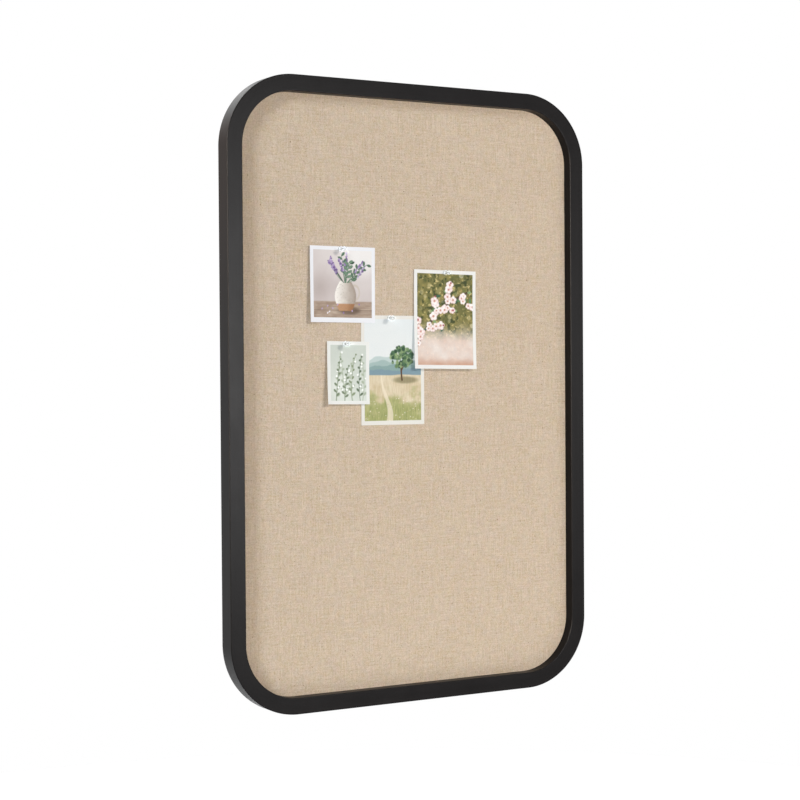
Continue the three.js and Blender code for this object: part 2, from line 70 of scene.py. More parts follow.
MM = 0.001
QUARTER = math.pi / 2

# Frame: sizes that the CAD box doesn't give
CORNER_RADIUS = 106 * MM
FACE_WIDTH = 23.8 * MM
RABBET_WIDTH = 7 * MM
EDGE_RADIUS = 1.2 * MM
LIP_EDGE = 0.4 * MM
CORNER_LEG = 35 * MM
SEAT_GAP = 0.3 * MM
CORNER_STEPS = 192

# Panel
PANEL_EDGE_GAP = 1 * MM
PANEL_CORNER_STEPS = 24
LINEN_THICKNESS = 0.8 * MM
LINEN_FOLD = 1.0 * MM
HEM_WIDTH = 18 * MM
LINEN_GRID = 9 * MM
LINEN_WAVE = 0.06 * MM
LINEN_WAVE_LENGTH = 70 * MM
WAVE_LEAN = 0.35
CROSS_WAVE = 0.8
CROSS_WAVE_LEAN = 0.2
CROSS_WAVE_START = 1.3

# Linen's weave and its drift of hue
LINEN_PITCH = 0.85 * MM
YARN_STRETCH = 0.02
YARN_WOBBLE = 0.5
YARN_WEAVE = 0.4
RED_DRIFT = 0.15
BLUE_DRIFT = 0.25

# Hardware
SCREW_RADIUS = 1.5 * MM
SCREW_LENGTH = 12 * MM
SCREW_TIP = 4 * MM
SCREW_HEAD_RADIUS = 3.2 * MM
SCREW_HEAD_HEIGHT = 2 * MM
SCREW_HEAD_RIM = 0.6 * MM
RECESS_REACH = 1.75 * MM
RECESS_HALF_WIDTH = 0.36 * MM
RECESS_DEPTH = 1.2 * MM
RECESS_TOP = 2.4 * MM
RECESS_TOP_SCALE = 1.1
RECESS_FLOOR_SCALE = 0.5
BUTTON_EYE_RADIUS = 5.5 * MM
BUTTON_TIP_RADIUS = 3.6 * MM
BUTTON_REACH = 18 * MM
BUTTON_THICKNESS = 1.2 * MM
BUTTON_TAB_LENGTH = 5 * MM
BUTTON_TAB_RISE = 1.4 * MM
STRAP_WIDTH = 9.5 * MM
STRAP_LENGTH = 34 * MM
STRAP_THICKNESS = 0.8 * MM
STRAP_SEAM = 0.05 * MM
RING_WIRE_RADIUS = 1.1 * MM
RING_BAR_CLEARANCE = 0.3 * MM
RING_SIDE_CLEARANCE = 0.8 * MM
RING_BEND_RADIUS = 2 * MM
RING_SIDE_HEIGHT = 6 * MM
BUMPER_RIM = 1.2 * MM
METAL_EDGE = 0.25 * MM

# Pins
PIN_FLANGE_THICKNESS = 1.6 * MM
PIN_FLANGE_RIM = 0.96 * MM
PIN_WAIST_RADIUS = 2.3 * MM
PIN_WAIST_TAPER = 0.12 * MM
PIN_CAP_RADIUS = 3.6 * MM
PIN_CAP_THICKNESS = 2.4 * MM
PIN_CAP_SLOPE = 0.4 * MM
NEEDLE_RADIUS = 0.55 * MM
NEEDLE_TIP = 2.5 * MM
NEEDLE_POINT = 1 * MM
NEEDLE_CLEARANCE = 0.3 * MM
NEEDLE_EMBED = 6 * MM

# Prints: paper and white border
PRINT_THICKNESS = 0.4 * MM
PIN_INSET = 3.5 * MM
BORDER_SIDE = 5.4 * MM
BORDER_TOP = 5.4 * MM
BORDER_BLUR = 0.05 * MM
BORDER_LINES = 4
PRINT_CELL = 0.6 * MM
HANG_CURL = 2.2
SIDE_CURL = 2
SIDE_LIFT_AT_TOP = 0.35

# Width, height, the border below the picture and the pin's place to the right of the centre line, in
# millimetres, the tilt in degrees, how far the paper's bottom and left edges lift off the linen, in
# millimetres, and the paper's white. The tall print's white is darker and warmer as painted shade, since
# it lies behind the others
Print = namedtuple("Print", "size foot pin tilt lift paper")
PRINTS = {
    "upper_left": Print((108.2, 110.6), 7.1, -2.7, -0.4, (0.5, 4.0), "#ebebee"),
    "right": Print((108.7, 148.1), 5.6, 0.4, -0.8, (4.5, 0.4), "#eae9e5"),
    "small": Print((70.4, 91.8), 5.0, -5.3, -0.9, (3.0, 3.0), "#e8e8e3"),
    # Painted shade: the tall print's paper is a darker, warmer white because it lies behind the others
    "tall": Print((107.3, 161.7), 6.2, -5.2, -0.1, (0, 0), "#e4e1d9"),
}

# Camera, matched to the photograph's perspective
CAMERA_PLACE = (-1.3542, -2.3142, 0.0419)
CAMERA_TURN = (88.886, 0.374, -30.193)
CAMERA_LENS = 80.457
CAMERA_SENSOR = 36
CAMERA_CLIP = (0.05, 50)

# Even light from all round, as a share of a full white level on the linen
AMBIENT = 0.14

# Softboxes: place, width and height, share of a full white level on the linen or the back, and tint.
# Pins and prints cast no shadow from the key, the frame casts none from the fill, and neither casts one
# from the low lamp, so that each shadow falls one way. The front lamp gives the soft shade beside the
# right rail. The key is a little cool and the fill and the low lamp are warm, so that shade is warm and
# full light is white. The sheens show only as gloss on the paint.
COOL = (0.9, 1.0, 1.1)
WARM = (1.056, 1.0, 0.944)
AMBER = (1.0, 0.85, 0.7)
EMBER = (1.0, 0.4, 0.15)
LAMPS = {
    "back": ((1.4, 2.6, 1.1), (1.6, 1.6), 0.55),
    "key": ((-4.8, -2.44, 1.9), (1.5, 1.6), 0.25, COOL),
    "fill": ((2.1, -2.8, 1.7), (0.6, 0.6), 0.36, WARM),
    "front": ((1.4, -2.6, 0.2), (1.8, 0.8), 0.075),
    "low": ((0.0, -1.0, -1.0), (0.8, 0.5), 0.105, WARM),
}
SHEENS = {
    "left_sheen": ((0.8, -2.9, 0.08), (0.7, 1.0), 0.8),
    "right_sheen": ((2.3, -2.9, 0.05), (0.9, 1.0), 0.1),
    "edge_sheen": ((-2.55, -1.12, 0.55), (1.4, 1.4), 2.6, AMBER),
    "corner_sheen": ((-0.2, 2.25, 1.5), (1.2, 1.2), 0.1),
    "side_sheen": ((-1.3, 2.2, 0.9), (1.2, 1.2), 0.022, EMBER),
}

# Floor: its glow towards the camera rises from the middle to the rim, between two shares of its radius
FLOOR_DROP = 0.6
FLOOR_RADIUS = 2.4
FLOOR_STEPS = 96
FLOOR_GLOW = 0.22
RIM_GLOW = 0.8
GLOW_RISE = (0.3, 0.75)

# Places and sizes that follow from the CAD model and from the sizes above
HALF_WIDTH = cad_high.x
HALF_HEIGHT = cad_high.z
FRONT_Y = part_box("top_rail")[0].y
BACK_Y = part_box("top_rail")[1].y
LINEN_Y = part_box("linen_cover")[0].y
HEM_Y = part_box("linen_cover")[1].y
LIP_Y = LINEN_Y - SEAT_GAP
WEB_WIDTH = FACE_WIDTH - RABBET_WIDTH
PANEL_INSET = WEB_WIDTH + PANEL_EDGE_GAP
LOOP_BORE = RING_WIRE_RADIUS + RING_BAR_CLEARANCE
LOOP_RADIUS = LOOP_BORE + STRAP_THICKNESS

BODY_OF = {node: body for body, nodes in frame["record"]["behaviour"]["bodies"].items() for node in nodes}
SLOT_OF = {row["node"]: row["material_slot"] for row in frame["record"]["subparts"]}

# Points nearer than this are one: at a turned piece's poles, along the linen's seams and in its flat mesh
POLE_MERGE = 1e-7
SEAM_MERGE = 1e-6
FLAT_MERGE = 1e-8

# The flat mesh keeps only the triangles inside its rim
INSIDE_ONLY = 1

# Edges sharper than this, in degrees, stay sharp in the light, or are rounded by a bevel
SHARP = 35
LINEN_SHARP = 60
STRAP_SHARP = 40
THIN_SHARP = 50
BEVEL_SHARP = 40

# Steps round turned pieces, and points along bent lines
SCREW_STEPS = 48
BUMPER_STEPS = 56
GRIP_STEPS = 40
NEEDLE_STEPS = 24
WIRE_STEPS = 20
RING_BEND_STEPS = 10
RING_BOW_STEPS = 48
EASE_STEPS = 5
GRIP_EASE_STEPS = 6
CROWN_POINTS = 12
RIM_POINTS = 9
BUTTON_TIP_POINTS = 25
BUTTON_EYE_POINTS = 33
BUTTON_TAB_CUTS = 9
STRAP_LOOP_POINTS = 33
STRAP_END_POINTS = 13


# Colours

def shade(code):
    """The three shares of a #rrggbb code."""
    return np.array([int(code[i:i + 2], 16) for i in (1, 3, 5)]) / 255


def to_linear(values):
    return np.where(values <= 0.04045, values / 12.92, ((values + 0.055) / 1.055) ** 2.4)


def colour(code):
    return (*to_linear(shade(code)), 1.0)


# Node trees

class Value:
    """A shader node's output. Its sums, products and methods add nodes to the same tree."""

    def __init__(self, socket):
        self.socket = socket

    def node(self, kind, inputs, output=0, **settings):
        return added(self.socket.id_data, kind, inputs, output, **settings)

    def calc(self, operation, other=0.0):
        return self.node("ShaderNodeMath", {0: self, 1: other}, operation=operation)

    def __add__(self, other):
        return self.calc("ADD", other)

    def __sub__(self, other):
        return self.calc("SUBTRACT", other)

    def __mul__(self, other):
        return self.calc("MULTIPLY", other)

    def ranged(self, low, high, to_low=0.0, to_high=1.0):
        inputs = {"Value": self, "From Min": low, "From Max": high, "To Min": to_low, "To Max": to_high}
        return self.node("ShaderNodeMapRange", inputs)

    def stretched(self, scale):
        return self.node("ShaderNodeVectorMath", {0: self, 1: scale}, operation="MULTIPLY")

    def noise(self, scale, detail=3.0, roughness=0.55, curl=0.0):
        inputs = {"Vector": self, "Scale": scale, "Detail": detail}
        inputs |= {"Roughness": roughness, "Distortion": curl}
        return self.node("ShaderNodeTexNoise", inputs, "Fac")

    def mixed(self, other, factor, blend="MIX"):
        inputs = {"Factor": factor, 6: self, 7: other}
        return self.node("ShaderNodeMix", inputs, 2, data_type="RGBA", blend_type=blend)

    def toned(self, low, high, dark, pale):
        """Dark where the value is low, and pale where it is high."""
        inputs = {"Factor": self.ranged(low, high), 6: dark, 7: pale}
        return self.node("ShaderNodeMix", inputs, 2, data_type="RGBA")

    def bumped(self, distance, strength, **normal):
        """A normal for the value as a height, on top of another Normal if one is given."""
        inputs = {"Height": self, "Distance": distance, "Strength": strength, **normal}
        return self.node("ShaderNodeBump", inputs)


def added(tree, kind, inputs, output=0, **settings):
    """The output of a new shader node. An input may be a plain value, a #rrggbb code or a Value."""
    made = tree.nodes.new(kind)
    for name, value in settings.items():
        setattr(made, name, value)
    for name, value in inputs.items():
        if isinstance(value, Value):
            tree.links.new(value.socket, made.inputs[name])
        else:
            made.inputs[name].default_value = colour(value) if isinstance(value, str) else value
    return Value(made.outputs[output])


def seen_directly(tree):
    """1 where the camera, gloss or glass looks at the surface."""
    rays = ("Is Camera Ray", "Is Glossy Ray", "Is Transmission Ray")
    camera, gloss, glass = (added(tree, "ShaderNodeLightPath", {}, ray) for ray in rays)
    return camera.calc("MAXIMUM", gloss).calc("MAXIMUM", glass)


def new_material(name, **sockets):
    """A material, its Principled shader with these plain values, and places in the object's own frame.

    A socket's name has _ for a space.
    """
    material = bpy.data.materials.new(name)
    material.use_nodes = True
    shader = material.node_tree.nodes["Principled BSDF"]
    for socket, value in sockets.items():
        shader.inputs[socket.replace("_", " ")].default_value = value
    return material, shader, added(material.node_tree, "ShaderNodeTexCoord", {}, "Object")


def feed(shader, **values):
    """Joins values to the shader's sockets."""
    for socket, value in values.items():
        shader.id_data.links.new(value.socket, shader.inputs[socket.replace("_", " ")])


# Materials

def paint_material():
    """Satin black paint over close-grained wood. The grain runs along each rail and round each corner."""
    material, shader, place = new_material("satin_black_paint", Specular_IOR_Level=0.07)
    grain = place.node("ShaderNodeAttribute", {}, "Vector", attribute_name="grain")
    pores = grain.stretched((18.0, 1300.0, 1300.0)).noise(1.0)
    figure = grain.stretched((4.0, 120.0, 120.0)).noise(1.0, 2.0)
    peel = place.noise(900.0, 2.0)
    haze = place.noise(26.0)
    dust = place.noise(520.0, 2.0, 0.7)
    tone = haze * 0.25 + figure * 0.35 + dust * 0.4
    black = tone.toned(0.35, 0.65, (0.0042, 0.0034, 0.0034, 1), (0.0086, 0.0073, 0.0074, 1))
    rough = haze * 0.10 + pores * 0.06 + 0.27
    normal = peel.bumped(0.01 * MM, 0.4, Normal=pores.bumped(0.03 * MM, 0.12))
    feed(shader, Base_Color=black, Roughness=rough, Normal=normal)
    return material


def wave(value, turns):
    """A cosine with that many turns for each whole number."""
    return (value * (turns * 2 * math.pi)).calc("COSINE")


def hump(value):
    """The round top of a yarn at each whole number."""
    return wave(value, 1) * 0.5 + 0.5


def yarn(across, up, layer):
    """Uneven tone along a yarn."""
    return across.node("ShaderNodeCombineXYZ", {0: across, 1: up, 2: layer}).noise(1.0, 4.0, 0.75)


def weave(place):
    """Tone and height of a plain weave of wandering yarns."""
    x, z = (place.node("ShaderNodeSeparateXYZ", {0: place}, axis) for axis in "XZ")
    across = x * (1 / LINEN_PITCH) + place.noise(60.0, 2.0) * YARN_WOBBLE
    up = z * (1 / LINEN_PITCH) + place.stretched((1.0, 1.0, -1.0)).noise(55.0, 2.0) * YARN_WOBBLE
    crossing = wave(across, 0.5) * wave(up, 0.5)
    warp_height = hump(across) * (crossing * YARN_WEAVE + (1 - YARN_WEAVE))
    weft_height = hump(up) * (crossing * -YARN_WEAVE + (1 - YARN_WEAVE))
    warp = yarn(across, up * YARN_STRETCH, 0.0)
    weft = yarn(across * YARN_STRETCH, up, 9.0)
    on_top = (warp_height - weft_height).ranged(-0.15, 0.15)
    return on_top * (warp - weft) + weft, warp_height.calc("MAXIMUM", weft_height)


def drift(place, shift, reach):
    """A factor that strays from 1 by up to half the reach."""
    apart = place.node("ShaderNodeVectorMath", {0: place, 1: (shift, shift, shift)})
    return apart.noise(105.0, 2.0).ranged(0.0, 1.0, 1 - reach / 2, 1 + reach / 2)


def linen_material():
    """Plain weave of uneven flax yarns, with slubs, a drift of hue, painted shade in the hollows between the yarns
    and a few dark flecks.
    """
    material, shader, place = new_material(
        "natural_linen", Roughness=0.92, Sheen_Weight=0.12, Sheen_Roughness=0.6, Specular_IOR_Level=0.12
    )
    tone, height = weave(place)
    tone = tone + place.noise(14.0) * 0.05 + place.noise(640.0, 1.0, 0.6) * 0.36
    cloth = tone.toned(0.505, 0.905, "#b39a7e", "#e8d9c5")
    # Painted shade: the brown darkens the cloth where the weave is low, between the yarns
    cloth = cloth.mixed("#8e7354", height.ranged(0.42, 0.16, 0.0, 0.42))
    speck = place.stretched((1.0, 1.0, 0.45)).noise(560.0, 1.0)
    cloth = cloth.mixed("#735438", speck.ranged(0.705, 0.78, 0.0, 0.95))
    red, blue = drift(place, 0.0, RED_DRIFT), drift(place, 0.5, BLUE_DRIFT)
    cloth = cloth.mixed(place.node("ShaderNodeCombineColor", {0: red, 1: 1.0, 2: blue}), 1.0, "MULTIPLY")
    feed(shader, Base_Color=cloth, Normal=(tone * 0.5 + height).bumped(0.16 * MM, 0.7))
    return material


def paper_material():
    """Satin photo paper. The picture and its border come from the mesh's own colours."""
    material, shader, place = new_material("photo_paper", Specular_IOR_Level=0.3)
    art = place.node("ShaderNodeVertexColor", {}, layer_name="art")
    tooth = place.noise(2600.0, 2.0)
    level = place.noise(1500.0, 2.0).ranged(0.3, 0.7, 0.965, 1.03)
    grey = place.node("ShaderNodeCombineColor", {0: level, 1: level, 2: level})
    rough = tooth.ranged(0.3, 0.7, 0.38, 0.46)
    normal = tooth.bumped(0.01 * MM, 0.4)
    feed(shader, Base_Color=art.mixed(grey, 1.0, "MULTIPLY"), Roughness=rough, Normal=normal)
    return material


def clear_material():
    """Clear moulded plastic, whose shadow keeps about a third of the lamps' light."""
    material, shader, place = new_material(
        "clear_plastic", Roughness=0.14, IOR=1.46, Transmission_Weight=1.0, Base_Color=(0.93, 0.94, 0.94, 1)
    )
    feed(shader, Normal=place.noise(420.0, 2.0).bumped(0.04 * MM, 0.35))
    shadow = place.node("ShaderNodeLightPath", {}, "Is Shadow Ray")
    through = place.node("ShaderNodeBsdfTransparent", {"Color": (0.3, 0.31, 0.31, 1)})
    blend = place.node("ShaderNodeMixShader", {0: shadow, 1: Value(shader.outputs[0]), 2: through})
    feed(material.node_tree.nodes["Material Output"], Surface=blend)
    return material


def steel_material():
    """Bright zinc plate: cloudy, with fine rub marks."""
    material, shader, place = new_material("bright_zinc", Metallic=1.0)
    haze = place.noise(260.0)
    rub = place.stretched((1300.0, 1300.0, 160.0)).noise(1.0, 2.0)
    grey = haze.toned(0.3, 0.7, "#8e9295", "#b9bcbe")
    rough = haze * 0.16 + rub * 0.12 + 0.12
    feed(shader, Base_Color=grey, Roughness=rough, Normal=rub.bumped(0.02 * MM, 0.12))
    return material


def hardboard_material():
    """Pressed brown fibres, smooth side out."""
    material, shader, place = new_material("hardboard", Specular_IOR_Level=0.25)
    fibre = place.noise(620.0, 3.0, 0.6, 2.2)
    strands = fibre * 0.6 + place.noise(1700.0, 2.0, 0.7) * 0.4
    tone = place.noise(70.0) * 0.25 + strands * 0.75
    brown = tone.toned(0.34, 0.66, "#5d432c", "#8a6846")
    brown = brown.mixed("#3a2718", fibre.ranged(0.64, 0.72, 0.0, 0.5))
    rough = strands.ranged(0.3, 0.7, 0.52, 0.72)
    feed(shader, Base_Color=brown, Roughness=rough, Normal=strands.bumped(0.06 * MM, 0.5))
    return material


def fibre_material():
    """Soft tan fibre board of the pinning core."""
    material, shader, place = new_material("soft_fibre_board", Roughness=0.95)
    fluff = place.noise(420.0, 5.0, 0.7)
    tan = fluff.toned(0.3, 0.7, "#7d6446", "#b59a74")
    feed(shader, Base_Color=tan, Normal=fluff.bumped(0.3 * MM, 0.6))
    return material


def beech_material():
    """Bare beech with short rays along the grain."""
    material, shader, place = new_material("bare_beech", Roughness=0.75)
    rays = place.stretched((700.0, 700.0, 90.0)).noise(1.0)
    wood = rays.toned(0.35, 0.65, "#b98f5f", "#dcbb8c")
    feed(shader, Base_Color=wood, Normal=rays.bumped(0.05 * MM, 0.5))
    return material


def rubber_material():
    """Matt dark rubber with a fine moulded tooth."""
    material, shader, place = new_material("dark_rubber", Roughness=0.8, Specular_IOR_Level=0.3)
    dusty = place.noise(300.0).toned(0.35, 0.75, "#2b2b2d", "#454548")
    feed(shader, Base_Color=dusty, Normal=place.noise(1500.0).bumped(0.08 * MM, 0.5))
    return material


MATERIALS = {
    "frame_paint": paint_material(),
    "beech": beech_material(),
    "linen": linen_material(),
    "fibre_board": fibre_material(),
    "hardboard": hardboard_material(),
    "zinc_steel": steel_material(),
    "bumper_rubber": rubber_material(),
    "clear_plastic": clear_material(),
    "photo_paper": paper_material(),
}


# Mesh helpers

def grid_faces(rows, columns, closed_rows=False, closed_columns=False):
    """Quads that join a grid of points, given row by row."""
    quads = []
    for i in range(rows if closed_rows else rows - 1):
        for j in range(columns if closed_columns else columns - 1):
            here, over = i * columns, ((i + 1) % rows) * columns
            quads.append((here + j, here + (j + 1) % columns, over + (j + 1) % columns, over + j))
    return quads


def smoothed(mesh, sharp=None):
    """Shades the mesh smooth, except at edges sharper than the angle in degrees, if one is given."""
    mesh.polygons.foreach_set("use_smooth", [True] * len(mesh.polygons))
    if sharp is not None:
        mesh.set_sharp_from_angle(angle=math.radians(sharp))
    return mesh


def solid_mesh(name, vertices, faces, sharp=SHARP, merge=0.0):
    """A closed mesh with its faces pointing out. Points nearer than merge are joined."""
    mesh = bpy.data.meshes.new(name)
    mesh.from_pydata([tuple(v) for v in vertices], [], faces)
    build = bmesh.new()
    build.from_mesh(mesh)
    if merge:
        bmesh.ops.remove_doubles(build, verts=build.verts, dist=merge)
    bmesh.ops.recalc_face_normals(build, faces=build.faces)
    build.to_mesh(mesh)
    build.free()
    return smoothed(mesh, sharp)


def add_object(name, data):
    made = bpy.data.objects.new(name, data)
    bpy.context.scene.collection.objects.link(made)
    return made


def place_piece(node_name, mesh, place=(0, 0, 0), turn=0.0):
    """A detailed piece that stands for a CAD node, and rides and is finished as that node is."""
    piece = add_object(f"{node_name}_fine", mesh)
    piece.location = place
    piece.rotation_euler = (0, turn, 0)
    slot = SLOT_OF[node_name]
    if not mesh.materials:
        mesh.materials.append(MATERIALS[slot])
    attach(piece, BODY_OF[node_name])
    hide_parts(node_name)
    return piece


def weighted(piece):
    """Keeps broad flat faces flat in the light, beside the small rounds along their edges."""
    modifier = piece.modifiers.new("flat_faces", "WEIGHTED_NORMAL")
    modifier.keep_sharp = True
    return piece


def softened(piece, width, segments=3):
    """Rounds the piece's hard edges."""
    bevel = piece.modifiers.new("edges", "BEVEL")
    bevel.width = width
    bevel.segments = segments
    bevel.limit_method = "ANGLE"
    bevel.angle_limit = math.radians(BEVEL_SHARP)
    bevel.harden_normals = True
    return piece


def eased(corners, steps=EASE_STEPS):
    """A closed outline of corners, (x, y, radius), each rounded by its radius."""
    points, radii = np.split(np.array(corners, float), [2], axis=1)
    made = []
    for i, corner in enumerate(points):
        if radii[i] == 0:
            made.append(corner)
            continue
        before = points[i - 1] - corner
        after = points[(i + 1) % len(points)] - corner
        start = corner + before / np.linalg.norm(before) * radii[i]
        end = corner + after / np.linalg.norm(after) * radii[i]
        for t in np.linspace(0, 1, steps + 1):
            made.append((1 - t) ** 2 * start + 2 * t * (1 - t) * corner + t ** 2 * end)
    return np.array(made)


def ellipse(x, y, across, up, start, end, count):
    """Points along part of an ellipse, from one angle to another."""
    angles = np.linspace(start, end, count)
    return np.stack([x + across * np.cos(angles), y + up * np.sin(angles)], axis=1)


def arc(x, z, radius, start, end, steps):
    """Stations round an arc: a point and the direction that points to the arc's centre."""
    angles = np.linspace(start, end, steps + 1)
    out = np.stack([np.cos(angles), np.sin(angles)], axis=1)
    return np.hstack([np.array([x, z]) + radius * out, -out])


def sweep(section, stations, closed=False):
    """Carries a closed section, (inwards, depth), along stations. Returns points, faces and grain."""
    count, size = len(stations), len(section)
    points = np.empty((count, size, 3))
    points[..., 0] = stations[:, 0, None] + section[None, :, 0] * stations[:, 2, None]
    points[..., 1] = section[None, :, 1]
    points[..., 2] = stations[:, 1, None] + section[None, :, 0] * stations[:, 3, None]
    faces = grid_faces(count, size, closed, True)
    if not closed:
        faces += [tuple(range(size)), tuple(range((count - 1) * size, count * size))]
    steps = np.linalg.norm(np.diff(stations[:, :2], axis=0), axis=1)
    grain = np.empty_like(points)
    grain[..., 0] = np.concatenate([[0], np.cumsum(steps)])[:, None]
    grain[..., 1:] = section[None]
    return points.reshape(-1, 3), faces, grain.reshape(-1, 3)


def lathe(name, profile, steps, sharp=SHARP):
    """Turns a profile of (radius, depth) points round the Y axis."""
    angles = np.linspace(0, 2 * math.pi, steps, endpoint=False)
    profile = np.asarray(profile)
    points = np.empty((len(profile), steps, 3))
    points[..., 0] = profile[:, 0, None] * np.cos(angles)
    points[..., 1] = profile[:, 1, None]
    points[..., 2] = profile[:, 0, None] * np.sin(angles)
    closed = profile[0, 0] > 0
    faces = grid_faces(len(profile), steps, closed, True)
    return solid_mesh(name, points.reshape(-1, 3), faces, sharp, POLE_MERGE)


def ease(t):
    """A smooth step from 0 to 1."""
    t = np.clip(t, 0, 1)
    return t * t * (3 - 2 * t)


def stand(node_name, mesh, y):
    """Places a piece at the middle of its CAD node, at that depth."""
    low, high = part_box(node_name)
    return place_piece(node_name, mesh, ((low.x + high.x) / 2, y, (low.z + high.z) / 2))


# Frame: four rails and four corner blocks of one section, meeting at close joints

CORNERS = {
    "upper_left": (-1, 1, math.pi),
    "upper_right": (1, 1, QUARTER),
    "lower_right": (1, -1, 0.0),
    "lower_left": (-1, -1, -QUARTER),
}
RAILS = ["top", "right", "bottom", "left"]


def corner_arc(corner, steps):
    """Stations round one of the board's outer corners, clockwise."""
    right, up, start = CORNERS[corner]
    x = right * (HALF_WIDTH - CORNER_RADIUS)
    z = up * (HALF_HEIGHT - CORNER_RADIUS)
    return arc(x, z, CORNER_RADIUS, start, start - QUARTER, steps)


def frame_section():
    return eased([
        (0, FRONT_Y, EDGE_RADIUS),
        (FACE_WIDTH, FRONT_Y, EDGE_RADIUS),
        (FACE_WIDTH, LIP_Y, LIP_EDGE),
        (WEB_WIDTH, LIP_Y, 0),
        (WEB_WIDTH, BACK_Y, LIP_EDGE),
        (0, BACK_Y, EDGE_RADIUS),
    ])


def frame_piece(node_name, section, stations, run_start):
    points, faces, grain = sweep(section, stations)
    mesh = solid_mesh(node_name, points, faces)
    grain[:, 0] += run_start
    attribute = mesh.attributes.new("grain", "FLOAT_VECTOR", "POINT")
    attribute.data.foreach_set("vector", grain.ravel())
    return weighted(place_piece(node_name, mesh))


def build_frame():
    section = frame_section()
    pieces, ends = [], []
    for name in CORNERS:
        line = corner_arc(name, CORNER_STEPS)
        first, last = line[0].copy(), line[-1].copy()
        first[:2] -= CORNER_LEG * np.array([-first[3], first[2]])
        last[:2] += CORNER_LEG * np.array([-last[3], last[2]])
        stations = np.vstack([first, line, last])
        pieces.append(frame_piece(f"{name}_corner", section, stations, len(pieces)))
        ends.append((first, last))
    for i, name in enumerate(RAILS):
        stations = np.vstack([ends[i][1], ends[(i + 1) % len(ends)][0]])
        pieces.append(frame_piece(f"{name}_rail", section, stations, len(pieces)))
    return pieces


# Panel: linen turned over the core, with its hem on the back

def inside(points, inset):
    """Which points, (x, z), lie inside the board's outline drawn in by the inset."""
    past = np.abs(points) - np.array([HALF_WIDTH, HALF_HEIGHT]) + CORNER_RADIUS
    reach = np.where((past > 0).all(axis=1), np.hypot(*past.T), past.max(axis=1))
    return reach < CORNER_RADIUS - inset


def linen_faces(rim, inset):
    """A flat mesh of triangles inside the rim, on a square grid."""
    across = np.arange(-HALF_WIDTH, HALF_WIDTH, LINEN_GRID) + LINEN_GRID / 2
    up = np.arange(-HALF_HEIGHT, HALF_HEIGHT, LINEN_GRID) + LINEN_GRID / 2
    grid = np.stack(np.meshgrid(across, up), axis=-1).reshape(-1, 2)
    grid = grid[inside(grid, inset + LINEN_GRID / 2)]
    points = [Vector(p) for p in np.vstack([rim, grid])]
    count = len(rim)
    edges = [(i, (i + 1) % count) for i in range(count)]
    found = delaunay_2d_cdt(points, edges, [], INSIDE_ONLY, FLAT_MERGE)
    return np.array([tuple(p) for p in found[0]]), [tuple(f) for f in found[2]]


def linen_wave(x, z):
    """The slight unevenness of stretched cloth."""
    turn = 2 * math.pi / LINEN_WAVE_LENGTH
    along = np.sin(turn * (x + WAVE_LEAN * z))
    return LINEN_WAVE * along * np.sin(turn * CROSS_WAVE * (z - CROSS_WAVE_LEAN * x) + CROSS_WAVE_START)


def linen_path():
    """The cloth's way round the panel's edge: front, side and hem, then back along its inner face."""
    inner = LINEN_THICKNESS
    return eased([
        (PANEL_INSET + LINEN_GRID, LINEN_Y, 0),
        (PANEL_INSET, LINEN_Y, LINEN_FOLD),
        (PANEL_INSET, HEM_Y, LINEN_FOLD),
        (PANEL_INSET + HEM_WIDTH, HEM_Y, inner / 3),
        (PANEL_INSET + HEM_WIDTH, HEM_Y - inner, inner / 3),
        (PANEL_INSET + inner, HEM_Y - inner, inner / 4),
        (PANEL_INSET + inner, LINEN_Y + inner, inner / 4),
        (PANEL_INSET + LINEN_GRID, LINEN_Y + inner, 0),
    ])


def linen_mesh():
    """The cloth with its turned edge. Its front is slightly uneven, and its inner face is flat."""
    path = linen_path()
    stations = np.vstack([corner_arc(name, PANEL_CORNER_STEPS) for name in CORNERS])
    count, size = len(stations), len(path)
    points, _, _ = sweep(path, stations, closed=True)
    vertices = [points]
    faces = grid_faces(count, size, True, False)
    total = count * size
    for column, relief in ((0, 1.0), (size - 1, 0.0)):
        inset, depth = path[column]
        rim = points.reshape(count, size, 3)[::-1, column][:, [0, 2]]
        flat, triangles = linen_faces(rim, inset)
        y = depth + relief * linen_wave(flat[:, 0], flat[:, 1])
        y[:count] = depth
        vertices.append(np.stack([flat[:, 0], y, flat[:, 1]], axis=1))
        faces += [tuple(total + i for i in face) for face in triangles]
        total += len(flat)
    return solid_mesh("linen_cover", np.vstack(vertices), faces, LINEN_SHARP, SEAM_MERGE)


def build_linen():
    piece = place_piece("linen_cover", linen_mesh())
    wrap = HEM_Y - LINEN_Y + HEM_WIDTH
    width = 2 * (HALF_WIDTH - PANEL_INSET + wrap)
    length = 2 * (HALF_HEIGHT - PANEL_INSET + wrap)
    corner = CORNER_RADIUS - PANEL_INSET + wrap
    area = width * length - (4 - math.pi) * corner ** 2
    return piece


# Hardware on the back

def screw_body():
    """A wood screw with a low domed head. The head's underside lies at y = 0."""
    dome = SCREW_HEAD_HEIGHT - SCREW_HEAD_RIM
    crown = ellipse(0, SCREW_HEAD_RIM, SCREW_HEAD_RADIUS, dome, 0, QUARTER, CROWN_POINTS)
    crown[-1] = (0, SCREW_HEAD_HEIGHT)
    profile = [
        (0, -SCREW_LENGTH),
        (SCREW_RADIUS, SCREW_TIP - SCREW_LENGTH),
        (SCREW_RADIUS, 0),
        (SCREW_HEAD_RADIUS - METAL_EDGE, 0),
        (SCREW_HEAD_RADIUS, METAL_EDGE),
        *crown,
    ]
    return lathe("screw", profile, SCREW_STEPS)


